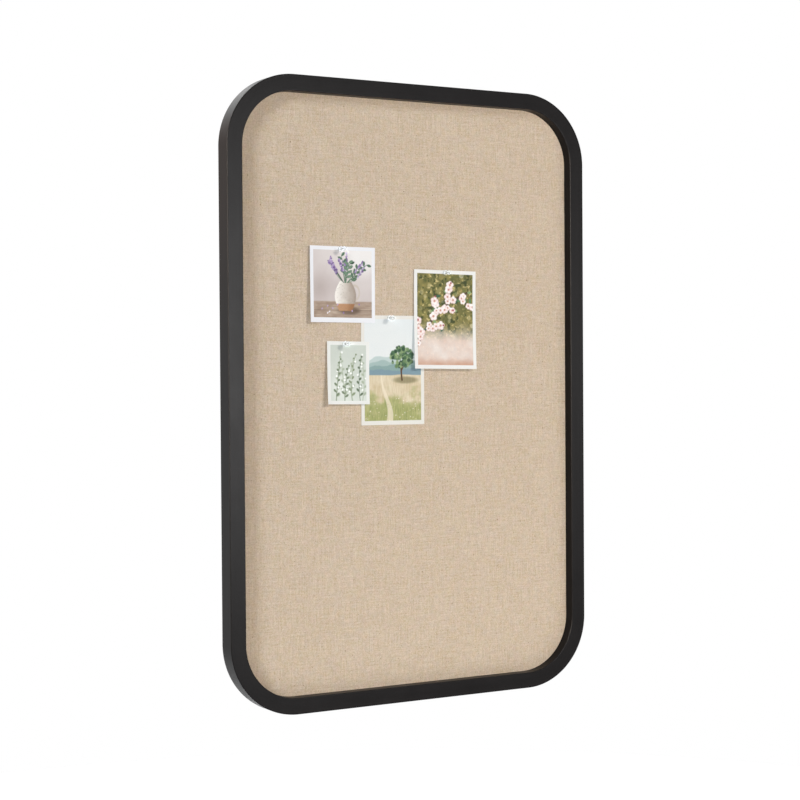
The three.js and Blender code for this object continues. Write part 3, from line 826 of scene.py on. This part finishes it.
def recess_cutter():
    """A tapered cross that cuts the screw's recess."""
    reach, half = RECESS_REACH, RECESS_HALF_WIDTH
    cross = [(half, half), (half, reach), (-half, reach), (-half, half), (-reach, half), (-reach, -half)]
    cross += [(-x, -z) for x, z in cross]
    levels = ((RECESS_TOP_SCALE, RECESS_TOP), (RECESS_FLOOR_SCALE, SCREW_HEAD_HEIGHT - RECESS_DEPTH))
    points = [(x * scale, y, z * scale) for scale, y in levels for x, z in cross]
    count = len(cross)
    faces = [tuple(range(count)), tuple(range(count, 2 * count)), *grid_faces(2, count, False, True)]
    return solid_mesh("recess", points, faces)


def screw_mesh():
    """The screw with its cross recess cut."""
    cutter, body = add_object("recess", recess_cutter()), add_object("screw", screw_body())
    cut = body.modifiers.new("recess", "BOOLEAN")
    cut.operation = "DIFFERENCE"
    cut.object = cutter
    cut.solver = "EXACT"
    graph = bpy.context.evaluated_depsgraph_get()
    mesh = bpy.data.meshes.new_from_object(body.evaluated_get(graph))
    mesh.name = "cross_head_screw"
    for made in (cutter, body):
        bpy.data.objects.remove(made)
    return smoothed(mesh, SHARP)


def build_screws():
    mesh = screw_mesh()
    names = [name for name in frame["nodes"] if name.startswith(("button_screw_", "hanger_screw_"))]
    return [stand(name, mesh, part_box(name)[1].y - SCREW_HEAD_HEIGHT) for name in names]


def turn_button_mesh():
    """A stamped turn button along X from its eye: flat, with a raised finger tab at the tip."""
    lean = math.acos((BUTTON_EYE_RADIUS - BUTTON_TIP_RADIUS) / BUTTON_REACH)
    tip = ellipse(BUTTON_REACH, 0, BUTTON_TIP_RADIUS, BUTTON_TIP_RADIUS, -lean, lean, BUTTON_TIP_POINTS)
    round_eye = (lean, 2 * math.pi - lean, BUTTON_EYE_POINTS)
    eye = ellipse(0, 0, BUTTON_EYE_RADIUS, BUTTON_EYE_RADIUS, *round_eye)
    rise_end = BUTTON_REACH + BUTTON_TIP_RADIUS - BUTTON_THICKNESS
    rise_start = rise_end - BUTTON_TAB_LENGTH
    build = bmesh.new()
    build.faces.new([build.verts.new((x, 0, z)) for x, z in (*tip, *eye)])
    for x in np.linspace(rise_start, rise_end, BUTTON_TAB_CUTS):
        cut = [*build.verts, *build.edges, *build.faces]
        bmesh.ops.bisect_plane(build, geom=cut, plane_co=(x, 0, 0), plane_no=(1, 0, 0))
    lifted = bmesh.ops.extrude_face_region(build, geom=build.faces[:])
    for made in lifted["geom"]:
        if isinstance(made, bmesh.types.BMVert):
            made.co.y += BUTTON_THICKNESS
    for vertex in build.verts:
        vertex.co.y += BUTTON_TAB_RISE * float(ease((vertex.co.x - rise_start) / BUTTON_TAB_LENGTH))
    bmesh.ops.recalc_face_normals(build, faces=build.faces)
    mesh = bpy.data.meshes.new("turn_button")
    build.to_mesh(mesh)
    build.free()
    return smoothed(mesh)


BUTTON_TURNS = {"left": 0.0, "right": math.pi, "top": QUARTER, "bottom": -QUARTER}


def joints_named(ending):
    """Places of the joints whose names end so, by what comes before that ending."""
    names = {joint["name"]: joint["pos_m"] for joint in frame["joints"] if joint["name"].endswith(ending)}
    return {name.removesuffix(ending): place for name, place in names.items()}


def build_turn_buttons():
    mesh = turn_button_mesh()
    pieces = []
    for name, (x, y, z) in joints_named("_button_turn").items():
        turn = BUTTON_TURNS[name.split("_")[0]]
        piece = place_piece(f"turn_button_{name}", mesh, (x, y + SEAT_GAP, z), turn)
        pieces.append(softened(piece, METAL_EDGE))
    return pieces


def strap_path():
    """The middle of a strip that is folded round the ring's bar, as (y, z) points."""
    half = STRAP_THICKNESS / 2
    round_bar = LOOP_BORE + half
    outer_y = STRAP_THICKNESS + STRAP_SEAM + half
    meet = math.asin((outer_y - LOOP_RADIUS) / round_bar)
    turn = np.linspace(-QUARTER, math.pi - meet, STRAP_LOOP_POINTS)
    loop = [(LOOP_RADIUS + round_bar * math.sin(a), round_bar * math.cos(a)) for a in turn]
    loop[0] = (half, 0.0)
    ends = np.linspace(0, STRAP_WIDTH / 2, STRAP_END_POINTS)
    down = [(half, z - STRAP_LENGTH) for z in ends]
    back = [(outer_y, z - STRAP_LENGTH) for z in ends[::-1]]
    return np.array([*down, *loop, *back])


def strap_mesh():
    """A folded steel strap with round ends. The bar's axis is at z = 0 and the frame's back at y = 0."""
    path = strap_path()
    run = np.gradient(path, axis=0)
    run /= np.linalg.norm(run, axis=1)[:, None]
    side = np.stack([-run[:, 1], run[:, 0]], axis=1)
    end_radius = STRAP_WIDTH / 2
    from_end = np.clip(path[:, 1] + STRAP_LENGTH, 0, end_radius)
    reach = np.sqrt(np.maximum(end_radius ** 2 - (end_radius - from_end) ** 2, METAL_EDGE ** 2))
    points = np.empty((len(path), 4, 3))
    for k, (x, lift) in enumerate(((-1, -1), (1, -1), (1, 1), (-1, 1))):
        points[:, k, 0] = x * reach
        points[:, k, 1:] = path + lift * STRAP_THICKNESS / 2 * side
    count = len(path)
    faces = grid_faces(count, 4, False, True) + [(0, 1, 2, 3), tuple(range(4 * count - 4, 4 * count))]
    return solid_mesh("hanger_strap", points.reshape(-1, 3), faces, STRAP_SHARP)


def ring_mesh():
    """A round wire bent to a D: the bar lies at z = 0 and the bow stands above it."""
    half = STRAP_WIDTH / 2 + RING_SIDE_CLEARANCE + RING_WIRE_RADIUS
    bend = RING_BEND_RADIUS
    angles = np.linspace(0, 2 * math.pi, WIRE_STEPS, endpoint=False)
    wire = RING_WIRE_RADIUS * np.stack([np.cos(angles), np.sin(angles)], axis=1) + (0, LOOP_RADIUS)
    stations = np.vstack([
        arc(-half + bend, bend, bend, 3 * QUARTER, math.pi, RING_BEND_STEPS),
        arc(0, RING_SIDE_HEIGHT, half, math.pi, 0, RING_BOW_STEPS),
        arc(half - bend, bend, bend, 0, -QUARTER, RING_BEND_STEPS),
    ])
    points, faces, _ = sweep(wire, stations, closed=True)
    return solid_mesh("d_ring", points, faces)


def build_hangers():
    strap, ring = strap_mesh(), ring_mesh()
    pieces = []
    for side, (x, _, z) in joints_named("_ring_swing").items():
        held = place_piece(f"hanger_strap_{side}", strap, (x, BACK_Y, z))
        pieces.append(softened(held, METAL_EDGE / 2, 2))
        pieces.append(place_piece(f"d_ring_{side}", ring, (x, BACK_Y, z)))
    return pieces


def build_bumpers():
    low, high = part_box("bumper_upper_left")
    radius, depth = (high.x - low.x) / 2, high.y - low.y
    rim = ellipse(radius - BUMPER_RIM, depth - BUMPER_RIM, BUMPER_RIM, BUMPER_RIM, 0, QUARTER, RIM_POINTS)
    foot = [(0, 0), (radius - METAL_EDGE, 0), (radius, METAL_EDGE)]
    mesh = lathe("bumper", [*foot, *rim, (0, depth)], BUMPER_STEPS)
    return [weighted(stand(f"bumper_{corner}", mesh, BACK_Y)) for corner in CORNERS]


# Pins

def grip_mesh(height, flange):
    """A clear push pin's grip: the flange seats at y = 0 and the cap points to the front."""
    bore = NEEDLE_RADIUS + NEEDLE_CLEARANCE
    bore_end = -NEEDLE_EMBED - NEEDLE_CLEARANCE
    cap = PIN_CAP_THICKNESS - height
    profile = eased([
        (0, -height, 0),
        (PIN_CAP_RADIUS, -height, 0.9 * MM),
        (PIN_CAP_RADIUS, cap, 0.5 * MM),
        (PIN_WAIST_RADIUS + PIN_WAIST_TAPER, cap + PIN_CAP_SLOPE, 0.8 * MM),
        (PIN_WAIST_RADIUS, (cap - PIN_FLANGE_THICKNESS) / 2, 1.6 * MM),
        (PIN_WAIST_RADIUS + PIN_WAIST_TAPER, -PIN_FLANGE_THICKNESS, 0.7 * MM),
        (flange, -PIN_FLANGE_RIM, 0.4 * MM),
        (flange, 0, 0.3 * MM),
        (bore, 0, 0.1 * MM),
        (bore, bore_end, 0.1 * MM),
        (0, bore_end, 0),
    ], GRIP_EASE_STEPS)
    return lathe("pin_grip", profile, GRIP_STEPS, THIN_SHARP)


def needle_mesh(length):
    profile = [
        (0, -NEEDLE_EMBED),
        (NEEDLE_RADIUS, -NEEDLE_EMBED),
        (NEEDLE_RADIUS, length - NEEDLE_TIP),
        (NEEDLE_RADIUS / 2, length - NEEDLE_POINT),
        (0, length),
    ]
    return lathe("pin_needle", profile, NEEDLE_STEPS, THIN_SHARP)


def build_pins():
    low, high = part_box("pin_grip_tall")
    needle_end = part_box("pin_needle_tall")[1].y
    grip = grip_mesh(high.y - low.y, (high.x - low.x) / 2)
    needle = needle_mesh(needle_end - high.y)
    pieces = []
    for name in PRINTS:
        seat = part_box(f"pin_grip_{name}")[1].y
        pieces += [stand(f"pin_grip_{name}", grip, seat), stand(f"pin_needle_{name}", needle, seat)]
    return pieces


# Pictures: x runs right and y up, in millimetres from the picture's lower left corner

def value_noise(x, y, seed):
    """Smooth noise from 0 to 1, with a new value at each whole number."""
    column, row = np.floor(x), np.floor(y)

    def corner(i, j):
        scrambled = np.sin((column + i) * 127.1 + (row + j) * 311.7 + seed * 74.7) * 43758.5453
        return scrambled - np.floor(scrambled)

    right, top = ease(x - column), ease(y - row)
    low = corner(0, 0) * (1 - right) + corner(1, 0) * right
    high = corner(0, 1) * (1 - right) + corner(1, 1) * right
    return low * (1 - top) + high * top


def cloud(x, y, seed, octaves=4):
    total = sum(value_noise(x * 2 ** k, y * 2 ** k, seed + k) / 2 ** k for k in range(octaves))
    return total / (2 - 2 ** (1 - octaves))


def lay(picture, code, mask):
    """Lays a colour, or another picture, over the picture where the mask is 1."""
    tint = shade(code) if isinstance(code, str) else code
    return picture + np.clip(mask, 0, 1)[..., None] * (tint - picture)


def between(value, low_code, high_code):
    return lay(np.broadcast_to(shade(low_code), (*value.shape, 3)), high_code, value)


def below(value, edge, soft):
    """1 where value is below the edge, 0 above it, with a soft step."""
    return 1 - ease((value - edge) / soft + 0.5)


def bow(start, end, sag, count=9):
    """Points of a gently bent stem from start to end."""
    t = np.linspace(0, 1, count)
    line = np.outer(1 - t, start) + np.outer(t, end)
    aside = np.array([start[1] - end[1], end[0] - start[0]]) * sag
    return line + np.outer(4 * t * (1 - t), aside)


class Canvas:
    """A picture under way: where its points lie, and their colours so far."""

    def __init__(self, x, y, ground):
        self.x, self.y, self.picture = x, y, ground

    def lay(self, code, mask):
        self.picture = lay(self.picture, code, mask)

    def disc(self, code, centre, radius, soft, strength=1.0, squash=1.0):
        away = np.hypot(self.x - centre[0], (self.y - centre[1]) * squash)
        self.lay(code, strength * below(away, radius, soft))

    def leaf(self, code, root, angle, length, width, soft=0.6):
        """A pointed leaf from its root."""
        x, y = self.x - root[0], self.y - root[1]
        along = x * math.cos(angle) + y * math.sin(angle)
        side = -x * math.sin(angle) + y * math.cos(angle)
        share = np.clip(along / length, 0, 1)
        reach = width / 2 * 4 * share * (1 - share) ** 0.8
        self.lay(code, below(np.abs(side), reach, soft) * (along > 0) * (along < length))

    def stem(self, code, path, width, soft=0.5):
        """A line through the points of the path."""
        nearest = np.full(self.x.shape, np.inf)
        for (ax, ay), (bx, by) in zip(path[:-1], path[1:]):
            dx, dy = bx - ax, by - ay
            t = np.clip(((self.x - ax) * dx + (self.y - ay) * dy) / (dx * dx + dy * dy), 0, 1)
            nearest = np.minimum(nearest, np.hypot(self.x - ax - t * dx, self.y - ay - t * dy))
        self.lay(code, below(nearest, width / 2, soft))


def add_jug(canvas, foot, tall):
    """A glazed jug with a bare clay foot, a handle and its shadow."""
    x, y = canvas.x - foot[0], canvas.y - foot[1]
    share = y / tall
    belly = 10.5 + 9 * np.sin(np.clip(share, 0, 1) * math.pi * 0.92) - 3.5 * share
    spot = x / np.maximum(belly, 1)
    mottle = cloud(canvas.x / 5, canvas.y / 5, 21) - 0.5
    clay = below(share, 0.24, 0.04)
    glaze = between(0.5 - 0.55 * spot + 0.25 * mottle, "#a4968a", "#f4efe7")
    glaze = lay(glaze, "#b08059", 0.85 * clay)
    glaze = lay(glaze, "#8a6040", 0.5 * clay * ease(spot * 1.2))
    glaze = lay(glaze, "#7f7167", 0.8 * (cloud(canvas.x / 0.9, canvas.y / 0.9, 31, 2) > 0.83))
    handle = np.hypot((x - 15.5) / 7.5, (y - tall * 0.62) / 10.5)
    canvas.disc("#4a3a30", (foot[0] + 7, foot[1]), 17, 14, 0.55, 3.2)
    canvas.lay("#c9beb2", below(np.abs(handle - 1), 0.16, 0.1) * (x > 10))
    canvas.lay(glaze, below(np.abs(x), belly, 0.7) * below(-share, 0, 0.02) * below(share, 1, 0.02))


def add_lavender(canvas, mouth, leafy, draw):
    """A stem out of the jug's mouth, with leaves or with a spike of small blooms."""
    lean = draw.uniform(-0.95, 0.95)
    reach = draw.uniform(26, 43)
    root = (mouth[0] + lean * 4, mouth[1] - 2)
    end = (mouth[0] + math.sin(lean) * reach * 1.05, mouth[1] + math.cos(lean) * reach)
    path = bow(root, end, draw.uniform(-0.12, 0.12))
    green = draw.choice(["#3d5240", "#55705a", "#6f8a72"])
    canvas.stem(green, path, 0.7)
    if leafy:
        for i in range(2, 9):
            canvas.leaf(green, path[i], QUARTER - lean + (0.9 if i % 2 else -0.9), 8.5, 3.4)
        return
    for i in range(16):
        at = path[4] + (path[-1] - path[4]) * i / 15 + draw.normal(0, 0.9, 2)
        bloom = draw.choice(["#8d74a6", "#a994bd", "#c6b6d2", "#715a88"])
        canvas.disc(bloom, at, draw.uniform(0.9, 1.7), 0.8)


def paint_jug(x, y, width, height, draw):
    """A cream stoneware jug of lavender on a worn table, against a mauve-grey wall."""
    wall = 0.35 * y / height + 0.65 * cloud(x / 38, y / 46, 3)
    canvas = Canvas(x, y, between(wall, "#bdb0ad", "#e6e0dc"))
    canvas.disc("#f3f1ee", (width * 0.86, height * 0.92), 26, 30, 0.75)
    canvas.disc("#8d7d76", (width * 0.1, height * 0.45), 12, 34, 0.35)
    table = 0.24 * height
    planks = 0.4 * cloud(x / 30, y / 1.6, 11) + 0.6 * cloud(x / 9, y / 3.5, 15)
    canvas.lay(between(planks, "#86705f", "#cbb9a8"), below(y, table, 2.0))
    canvas.lay("#5f4b3d", 0.6 * below(np.abs(y - 0.11 * height), 0.4, 0.9))
    foot, tall = (width * 0.55, height * 0.10), height * 0.44
    add_jug(canvas, foot, tall)
    for k in range(15):
        add_lavender(canvas, (foot[0], foot[1] + tall), k % 3 == 0, draw)
    for _ in range(9):
        at = (draw.uniform(6, width - 6), draw.uniform(2, table - 5))
        petal = draw.choice(["#b7a3c8", "#e9e4ea", "#8d74a6"])
        canvas.leaf(petal, at, draw.uniform(0, 3.1), 3.4, 1.8)
    return canvas.picture


def add_blossom(canvas, at, size, draw):
    """An open five-petalled flower."""
    turn = draw.uniform(0, 2 * math.pi)
    flat = draw.uniform(0.75, 1.0)
    for i in range(5):
        angle = turn + i * 2 * math.pi / 5
        x, y = at[0] + 0.58 * size * math.cos(angle), at[1] + 0.58 * size * flat * math.sin(angle)
        rim = draw.choice(["#f1dcd8", "#f7ebe8", "#eccfcb"])
        canvas.disc("#c9a5a2", (x + 0.3, y - 0.4), 0.52 * size, 0.8, 0.35)
        canvas.disc(rim, (x, y), 0.5 * size, 0.6)
        canvas.disc("#fdf8f5", (x, y), 0.3 * size, 0.5 * size, 0.7)
    canvas.disc("#b9727c", at, 0.24 * size, 0.3 * size, 0.8)
    for i in range(6):
        angle = turn + 0.4 + i * math.pi / 3
        dot = (at[0] + 0.26 * size * math.cos(angle), at[1] + 0.26 * size * math.sin(angle))
        canvas.disc("#d8ad52", dot, 0.07 * size, 0.35)


def add_twigs(canvas, main, bark, draw):
    """Twigs to both sides of the main branch. Returns their paths."""
    twigs = []
    for i in (2, 4, 6, 8, 10, 12):
        lean = (1 if i % 4 else -1) * draw.uniform(0.5, 0.9)
        heading = math.atan2(main[i + 1][1] - main[i][1], main[i + 1][0] - main[i][0]) + lean
        reach = draw.uniform(20, 36)
        end = (main[i][0] + reach * math.cos(heading), main[i][1] + reach * math.sin(heading))
        twigs.append(bow(main[i], end, draw.uniform(-0.12, 0.12)))
        canvas.stem(bark, twigs[-1], 1.6)
    return twigs


def paint_branch(x, y, width, height, draw):
    """A blossom branch across a sunlit hedge, above a blush haze."""
    canvas = Canvas(x, y, between(cloud(x / 7, y / 7, 5), "#4c5230", "#a39358"))
    canvas.lay("#d9c58a", 0.9 * ease((cloud(x / 3.4, y / 3.4, 9) - 0.58) / 0.2))
    canvas.lay("#333d24", 0.8 * ease((cloud(x / 5, y / 5, 14) - 0.56) / 0.16))
    for _ in range(46):
        at = (draw.uniform(0, width), draw.uniform(height * 0.35, height))
        glow = draw.choice(["#e7d9a8", "#c9b673", "#7f8148", "#f2ead0", "#5c6a3a"])
        strength = draw.uniform(0.15, 0.5)
        canvas.disc(glow, at, draw.uniform(1.5, 4.5), 1.2, strength)
    haze = ease((0.44 - y / height + 0.10 * cloud(x / 20, y / 20, 19)) / 0.24)
    canvas.lay(between(cloud(x / 16, y / 12, 23), "#e3c9bd", "#f5ebe6"), 0.92 * haze)
    earth = (0.10 - y / height) / 0.12 + 0.4 * (cloud(x / 12, y / 9, 29) - 0.4)
    canvas.lay("#b77f62", 0.6 * ease(earth))
    main = bow((-4, height * 0.16), (width * 0.9, height * 0.80), 0.10, 15)
    bark = between(cloud(x / 1.5, y / 1.5, 33), "#35291f", "#6a5443")
    canvas.stem(bark, main, 3.4)
    twigs = add_twigs(canvas, main, bark, draw)
    for line in [main, *twigs]:
        for at in line[2::2]:
            green = draw.choice(["#3f6049", "#5d7f57", "#86a06f"])
            canvas.leaf(green, at, draw.uniform(0, 2 * math.pi), draw.uniform(7, 11), 3.6)
    for line in [main, *twigs]:
        for at in line[1::2]:
            place = at + draw.normal(0, 1.6, 2)
            add_blossom(canvas, place, draw.uniform(4.2, 6.6), draw)
    for line in twigs:
        canvas.disc("#a2525c", line[-1], 1.5, 0.6)
    return canvas.picture


def paint_berries(x, y, width, height, draw):
    """Sprigs of small leaves and white berries in a pale mist, some of them out of focus."""
    mist = 0.55 * y / height + 0.45 * cloud(x / 26, y / 20, 7)
    canvas = Canvas(x, y, between(mist, "#dfe3da", "#c3c9bf"))
    canvas.disc("#f3f4ef", (width * 0.3, height * 0.25), 12, 30, 0.6)
    for depth, soft in ((0, 2.4), (1, 0.7)):
        for k in range(4):
            foot = (width * (0.16 + 0.23 * k) + draw.uniform(-2, 2), -4)
            top = (foot[0] + draw.uniform(-9, 9), height * draw.uniform(0.6, 0.86))
            path = bow(foot, top, draw.uniform(-0.08, 0.08), 13)
            green = "#a9b39c" if depth == 0 else draw.choice(["#76846a", "#8a9678", "#65735c"])
            canvas.stem(green, path, 0.9, soft)
            for i in range(2, 13):
                heading = QUARTER + (1 if i % 2 else -1) * draw.uniform(0.6, 1.0)
                canvas.leaf(green, path[i], heading, 7.5 * (1.15 - i / 16), 2.8, soft)
                if i % 3 == depth:
                    at = path[i] + np.array([math.cos(heading), math.sin(heading)]) * 3.4
                    canvas.disc("#aab1a2", (at[0] + 0.5, at[1] - 0.6), 1.9, soft, 0.5)
                    canvas.disc("#f6f7f3", at, 1.8, soft)
    return canvas.picture


def add_tree(canvas, root, draw):
    """A tree with a round head, and its shadow."""
    x, y = root
    canvas.disc("#5d5a3c", (x + 6, y), 20, 14, 0.5, 4)
    canvas.stem("#57412f", bow(root, (x - 1, y + 26), 0.03), 2.6)
    for lean in (-0.6, -0.2, 0.35, 0.7):
        end = (x + 16 * math.sin(lean), y + 18 + 14 * math.cos(lean))
        canvas.stem("#57412f", bow((x, y + 15), end, 0.05), 1.1)
    for _ in range(150):
        angle, reach = draw.uniform(0, 2 * math.pi), math.sqrt(draw.uniform(0, 1))
        at = (x + 19 * reach * math.cos(angle), y + 34 + 16 * reach * math.sin(angle))
        green = draw.choice(["#35503c", "#4a6a4c", "#6b865c", "#8fa474", "#2c4434"])
        canvas.disc(green, at, draw.uniform(1.2, 3.2), 1.4, 0.85)


def paint_meadow(x, y, width, height, draw):
    """A lone tree in a straw meadow, with misty hills under a pale sky."""
    up = y / height
    canvas = Canvas(x, y, between(0.7 * up + 0.3 * cloud(x / 40, y / 18, 2), "#f0eee9", "#dfe4e4"))
    hills = ((0.60, 7, "#bccbc8"), (0.56, 6, "#9fb5b1"), (0.53, 5, "#86a09d"), (0.50, 4, "#7d95a0"))
    for k, (level, rise, code) in enumerate(hills):
        ridge = level * height + rise * (cloud(x / (34 - 5 * k), 0 * x, 40 + k) - 0.4) * 3
        canvas.lay(code, 0.9 * below(y, ridge, 2.2 - 0.3 * k))
    field = below(y, 0.45 * height + 2.0 * (cloud(x / 30, 0 * x, 51) - 0.5), 1.2)
    straw = 0.55 * cloud(x / 1.1, (x * 0.35 + y) / 9, 55) + 0.45 * cloud(x / 20, y / 10, 57)
    canvas.lay(between(straw, "#bfa981", "#efe5d0"), field)
    grass = ease((0.30 - up + 0.32 * (cloud(x / 14, y / 10, 61) - 0.45)) / 0.22)
    blades = between(cloud(x / 0.9, (y - 0.5 * x) / 7, 65), "#6f7f43", "#b9b877")
    canvas.lay(blades, 0.8 * grass * field)
    way = width * 0.30 + 22 * np.sin(up * 7.5 + 0.6) * (0.5 - up) + 16 * (0.45 - up)
    lane = below(np.abs(x - way), 0.6 + 11 * np.maximum(0.45 - up, 0), 1.4)
    canvas.lay("#ecdfc8", 0.75 * lane * field)
    add_tree(canvas, (width * 0.66, height * 0.40), draw)
    for _ in range(70):
        at = (draw.uniform(0, width), draw.uniform(0, 0.22 * height))
        petal = draw.choice(["#f2eee4", "#e5d9c0", "#c9b48f"])
        canvas.disc(petal, at, draw.uniform(0.4, 0.9), 0.6, 0.8)
    return canvas.picture


PAINTERS = {
    "upper_left": paint_jug,
    "right": paint_branch,
    "small": paint_berries,
    "tall": paint_meadow,
}


# Prints

def lines_across(length, low_border, high_border):
    """Places of grid lines across a print, with a close pair at each edge of the picture."""
    count = round((length - low_border - high_border) / PRINT_CELL)
    field = np.linspace(low_border + BORDER_BLUR, length - high_border - BORDER_BLUR, count + 1)
    low = np.linspace(0, low_border - BORDER_BLUR, BORDER_LINES)
    high = np.linspace(length - high_border + BORDER_BLUR, length, BORDER_LINES)
    return np.concatenate([low, field, high])


def print_colours(name, x, y, width, height, foot):
    """Linear colours of the print's front: the picture inside its white border."""
    wide = width - 2 * BORDER_SIDE
    high = height - BORDER_TOP - foot
    draw = np.random.default_rng(sum(map(ord, name)))
    picture = PAINTERS[name]((x - BORDER_SIDE) / MM, (y - foot) / MM, wide / MM, high / MM, draw)
    within = (x > BORDER_SIDE) & (x < width - BORDER_SIDE) & (y > foot) & (y < height - BORDER_TOP)
    return to_linear(np.where(within[..., None], np.clip(picture, 0, 1), shade(PRINTS[name].paper)))


def sheet_faces(rows, columns):
    """Faces of a thin sheet: its front, its back and the rim between them."""
    count = rows * columns
    front = grid_faces(rows, columns)
    back = [tuple(i + count for i in reversed(face)) for face in front]
    rim = [*range(columns)]
    rim += [r * columns + columns - 1 for r in range(1, rows)]
    rim += [(rows - 1) * columns + c for c in range(columns - 2, -1, -1)]
    rim += [r * columns for r in range(rows - 2, 0, -1)]
    edge = [(here, here + count, over + count, over) for here, over in zip(rim, rim[1:] + rim[:1])]
    return front + back + edge


def print_mesh(name):
    """A sheet of paper hanging from its pin hole at the origin, its back at y = 0 where it lies flat."""
    sheet = PRINTS[name]
    width, height, hang_lift, side_lift = (side * MM for side in sheet.size + sheet.lift)
    foot, pin = sheet.foot * MM, sheet.pin * MM
    across, up = lines_across(width, BORDER_SIDE, BORDER_SIDE), lines_across(height, foot, BORDER_TOP)
    x, z = np.meshgrid(across, up)
    hang = np.clip(1 - z / (height - PIN_INSET), 0, 1)
    aside = np.clip(1 - x / (width / 2 + pin), 0, 1)
    along = SIDE_LIFT_AT_TOP + (1 - SIDE_LIFT_AT_TOP) * hang
    rise = hang_lift * hang ** HANG_CURL + side_lift * aside ** SIDE_CURL * along
    left, bottom = -width / 2 - pin, PIN_INSET - height
    layers = [np.stack([x + left, y - rise, z + bottom], axis=-1) for y in (-PRINT_THICKNESS, 0)]
    faces = sheet_faces(len(up), len(across))
    mesh = solid_mesh(f"print_{name}", np.reshape(layers, (-1, 3)), faces, THIN_SHARP)
    colours = np.ones((2 * x.size, 4))
    colours[:x.size, :3] = print_colours(name, x, z, width, height, foot).reshape(-1, 3)
    colours[x.size:] = colour(sheet.paper)
    attribute = mesh.color_attributes.new("art", "FLOAT_COLOR", "POINT")
    attribute.data.foreach_set("color", colours.ravel())
    return mesh


def build_prints():
    pieces = []
    for name, (x, _, z) in joints_named("_print_swing").items():
        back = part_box(f"print_{name}")[1].y
        turn = -math.radians(PRINTS[name].tilt)
        pieces.append(place_piece(f"print_{name}", print_mesh(name), (x, back, z), turn))
    return pieces


# Finishes of the CAD nodes that stay

def finish_cad_nodes():
    shown = [name for name in frame["nodes"] if not frame["nodes"][name].hide_render]
    for name in shown:
        materials = frame["nodes"][name].data.materials
        materials.clear()
        materials.append(MATERIALS[SLOT_OF[name]])
    return [frame["nodes"][name] for name in shown]


# Stage: floor, world, lamps and camera

def floor_material():
    """Pale and matt. It glows where it is seen directly, so that it fades into the white world."""
    material, shader, place = new_material(
        "pale_floor", Roughness=0.9, Specular_IOR_Level=0.0, Emission_Color=(1, 1, 1, 1)
    )
    pale = place.noise(40.0).toned(0.3, 0.7, "#ececec", "#f2f2f2")
    away = place.stretched((1 / FLOOR_RADIUS, 1 / FLOOR_RADIUS, 0.0))
    away = away.node("ShaderNodeVectorMath", {0: away}, "Value", operation="LENGTH")
    glow = away.ranged(*GLOW_RISE, FLOOR_GLOW, RIM_GLOW)
    feed(shader, Base_Color=pale, Emission_Strength=glow * seen_directly(material.node_tree))
    return material


def build_floor():
    """A round pale floor below the hanging board. It keeps the board's soft shadow."""
    angles = np.linspace(0, 2 * math.pi, FLOOR_STEPS, endpoint=False)
    level = -HALF_HEIGHT - FLOOR_DROP
    points = [(FLOOR_RADIUS * math.cos(a), FLOOR_RADIUS * math.sin(a), level) for a in angles]
    mesh = bpy.data.meshes.new("floor")
    mesh.from_pydata(points, [], [tuple(range(FLOOR_STEPS))])
    mesh.materials.append(floor_material())
    add_object("floor", mesh)


def build_world():
    """White where the camera, gloss or glass looks at it, and a softer even light on the object."""
    world = bpy.data.worlds.new("studio")
    bpy.context.scene.world = world
    world.use_nodes = True
    tree = world.node_tree
    soft, white = (
        added(tree, "ShaderNodeBackground", {"Color": "#ffffff", "Strength": strength})
        for strength in (AMBIENT, 1.0)
    )
    blend = added(tree, "ShaderNodeMixShader", {0: seen_directly(tree), 1: soft, 2: white})
    feed(tree.nodes["World Output"], Surface=blend)


def add_lamp(name, place, size, share, tint=(1, 1, 1)):
    """A softbox that gives that share of a full white level on the board's front, or on its back."""
    lamp = bpy.data.lights.new(name, "AREA")
    lamp.shape = "RECTANGLE"
    lamp.size, lamp.size_y = size
    lamp.color = tint
    place = Vector(place)
    lean = abs(place.normalized().y)
    lamp.energy = share * math.pi ** 2 * place.length_squared / lean
    made = add_object(name, lamp)
    made.location = place
    made.rotation_euler = (-place).to_track_quat("-Z", "Y").to_euler()
    made.visible_camera = False
    return made


def gathered(name, pieces):
    """A collection of these pieces, for a lamp to name."""
    made = bpy.data.collections.new(name)
    for piece in pieces:
        made.objects.link(piece)
    return made


def add_lamps(painted, pinned, rest):
    """The lamps, and which pieces each of them is shaded by or shines on."""
    shades = {"key": painted + rest, "fill": pinned + rest, "low": rest}
    for name, row in LAMPS.items():
        lamp = add_lamp(name, *row)
        lamp.visible_glossy = name == "key"
        lamp.visible_transmission = name == "back"
        if name in shades:
            lamp.light_linking.blocker_collection = gathered(f"{name}_shades", shades[name])
    frame_pieces = gathered("frame_pieces", painted)
    for name, row in SHEENS.items():
        sheen = add_lamp(name, *row)
        sheen.visible_diffuse = False
        sheen.light_linking.receiver_collection = frame_pieces


def build_camera():
    data = bpy.data.cameras.new("camera")
    data.lens = CAMERA_LENS
    data.sensor_width = CAMERA_SENSOR
    data.clip_start, data.clip_end = CAMERA_CLIP
    camera = add_object("camera", data)
    camera.location = CAMERA_PLACE
    camera.rotation_euler = Euler([math.radians(a) for a in CAMERA_TURN])
    bpy.context.scene.camera = camera


painted = build_frame()
rest = [build_linen(), *build_screws(), *build_turn_buttons(), *build_hangers(), *build_bumpers()]
pinned = build_pins() + build_prints()
rest += finish_cad_nodes()
build_floor()
build_world()
add_lamps(painted, pinned, rest)
build_camera()
bpy.context.scene.view_settings.view_transform = "Standard"
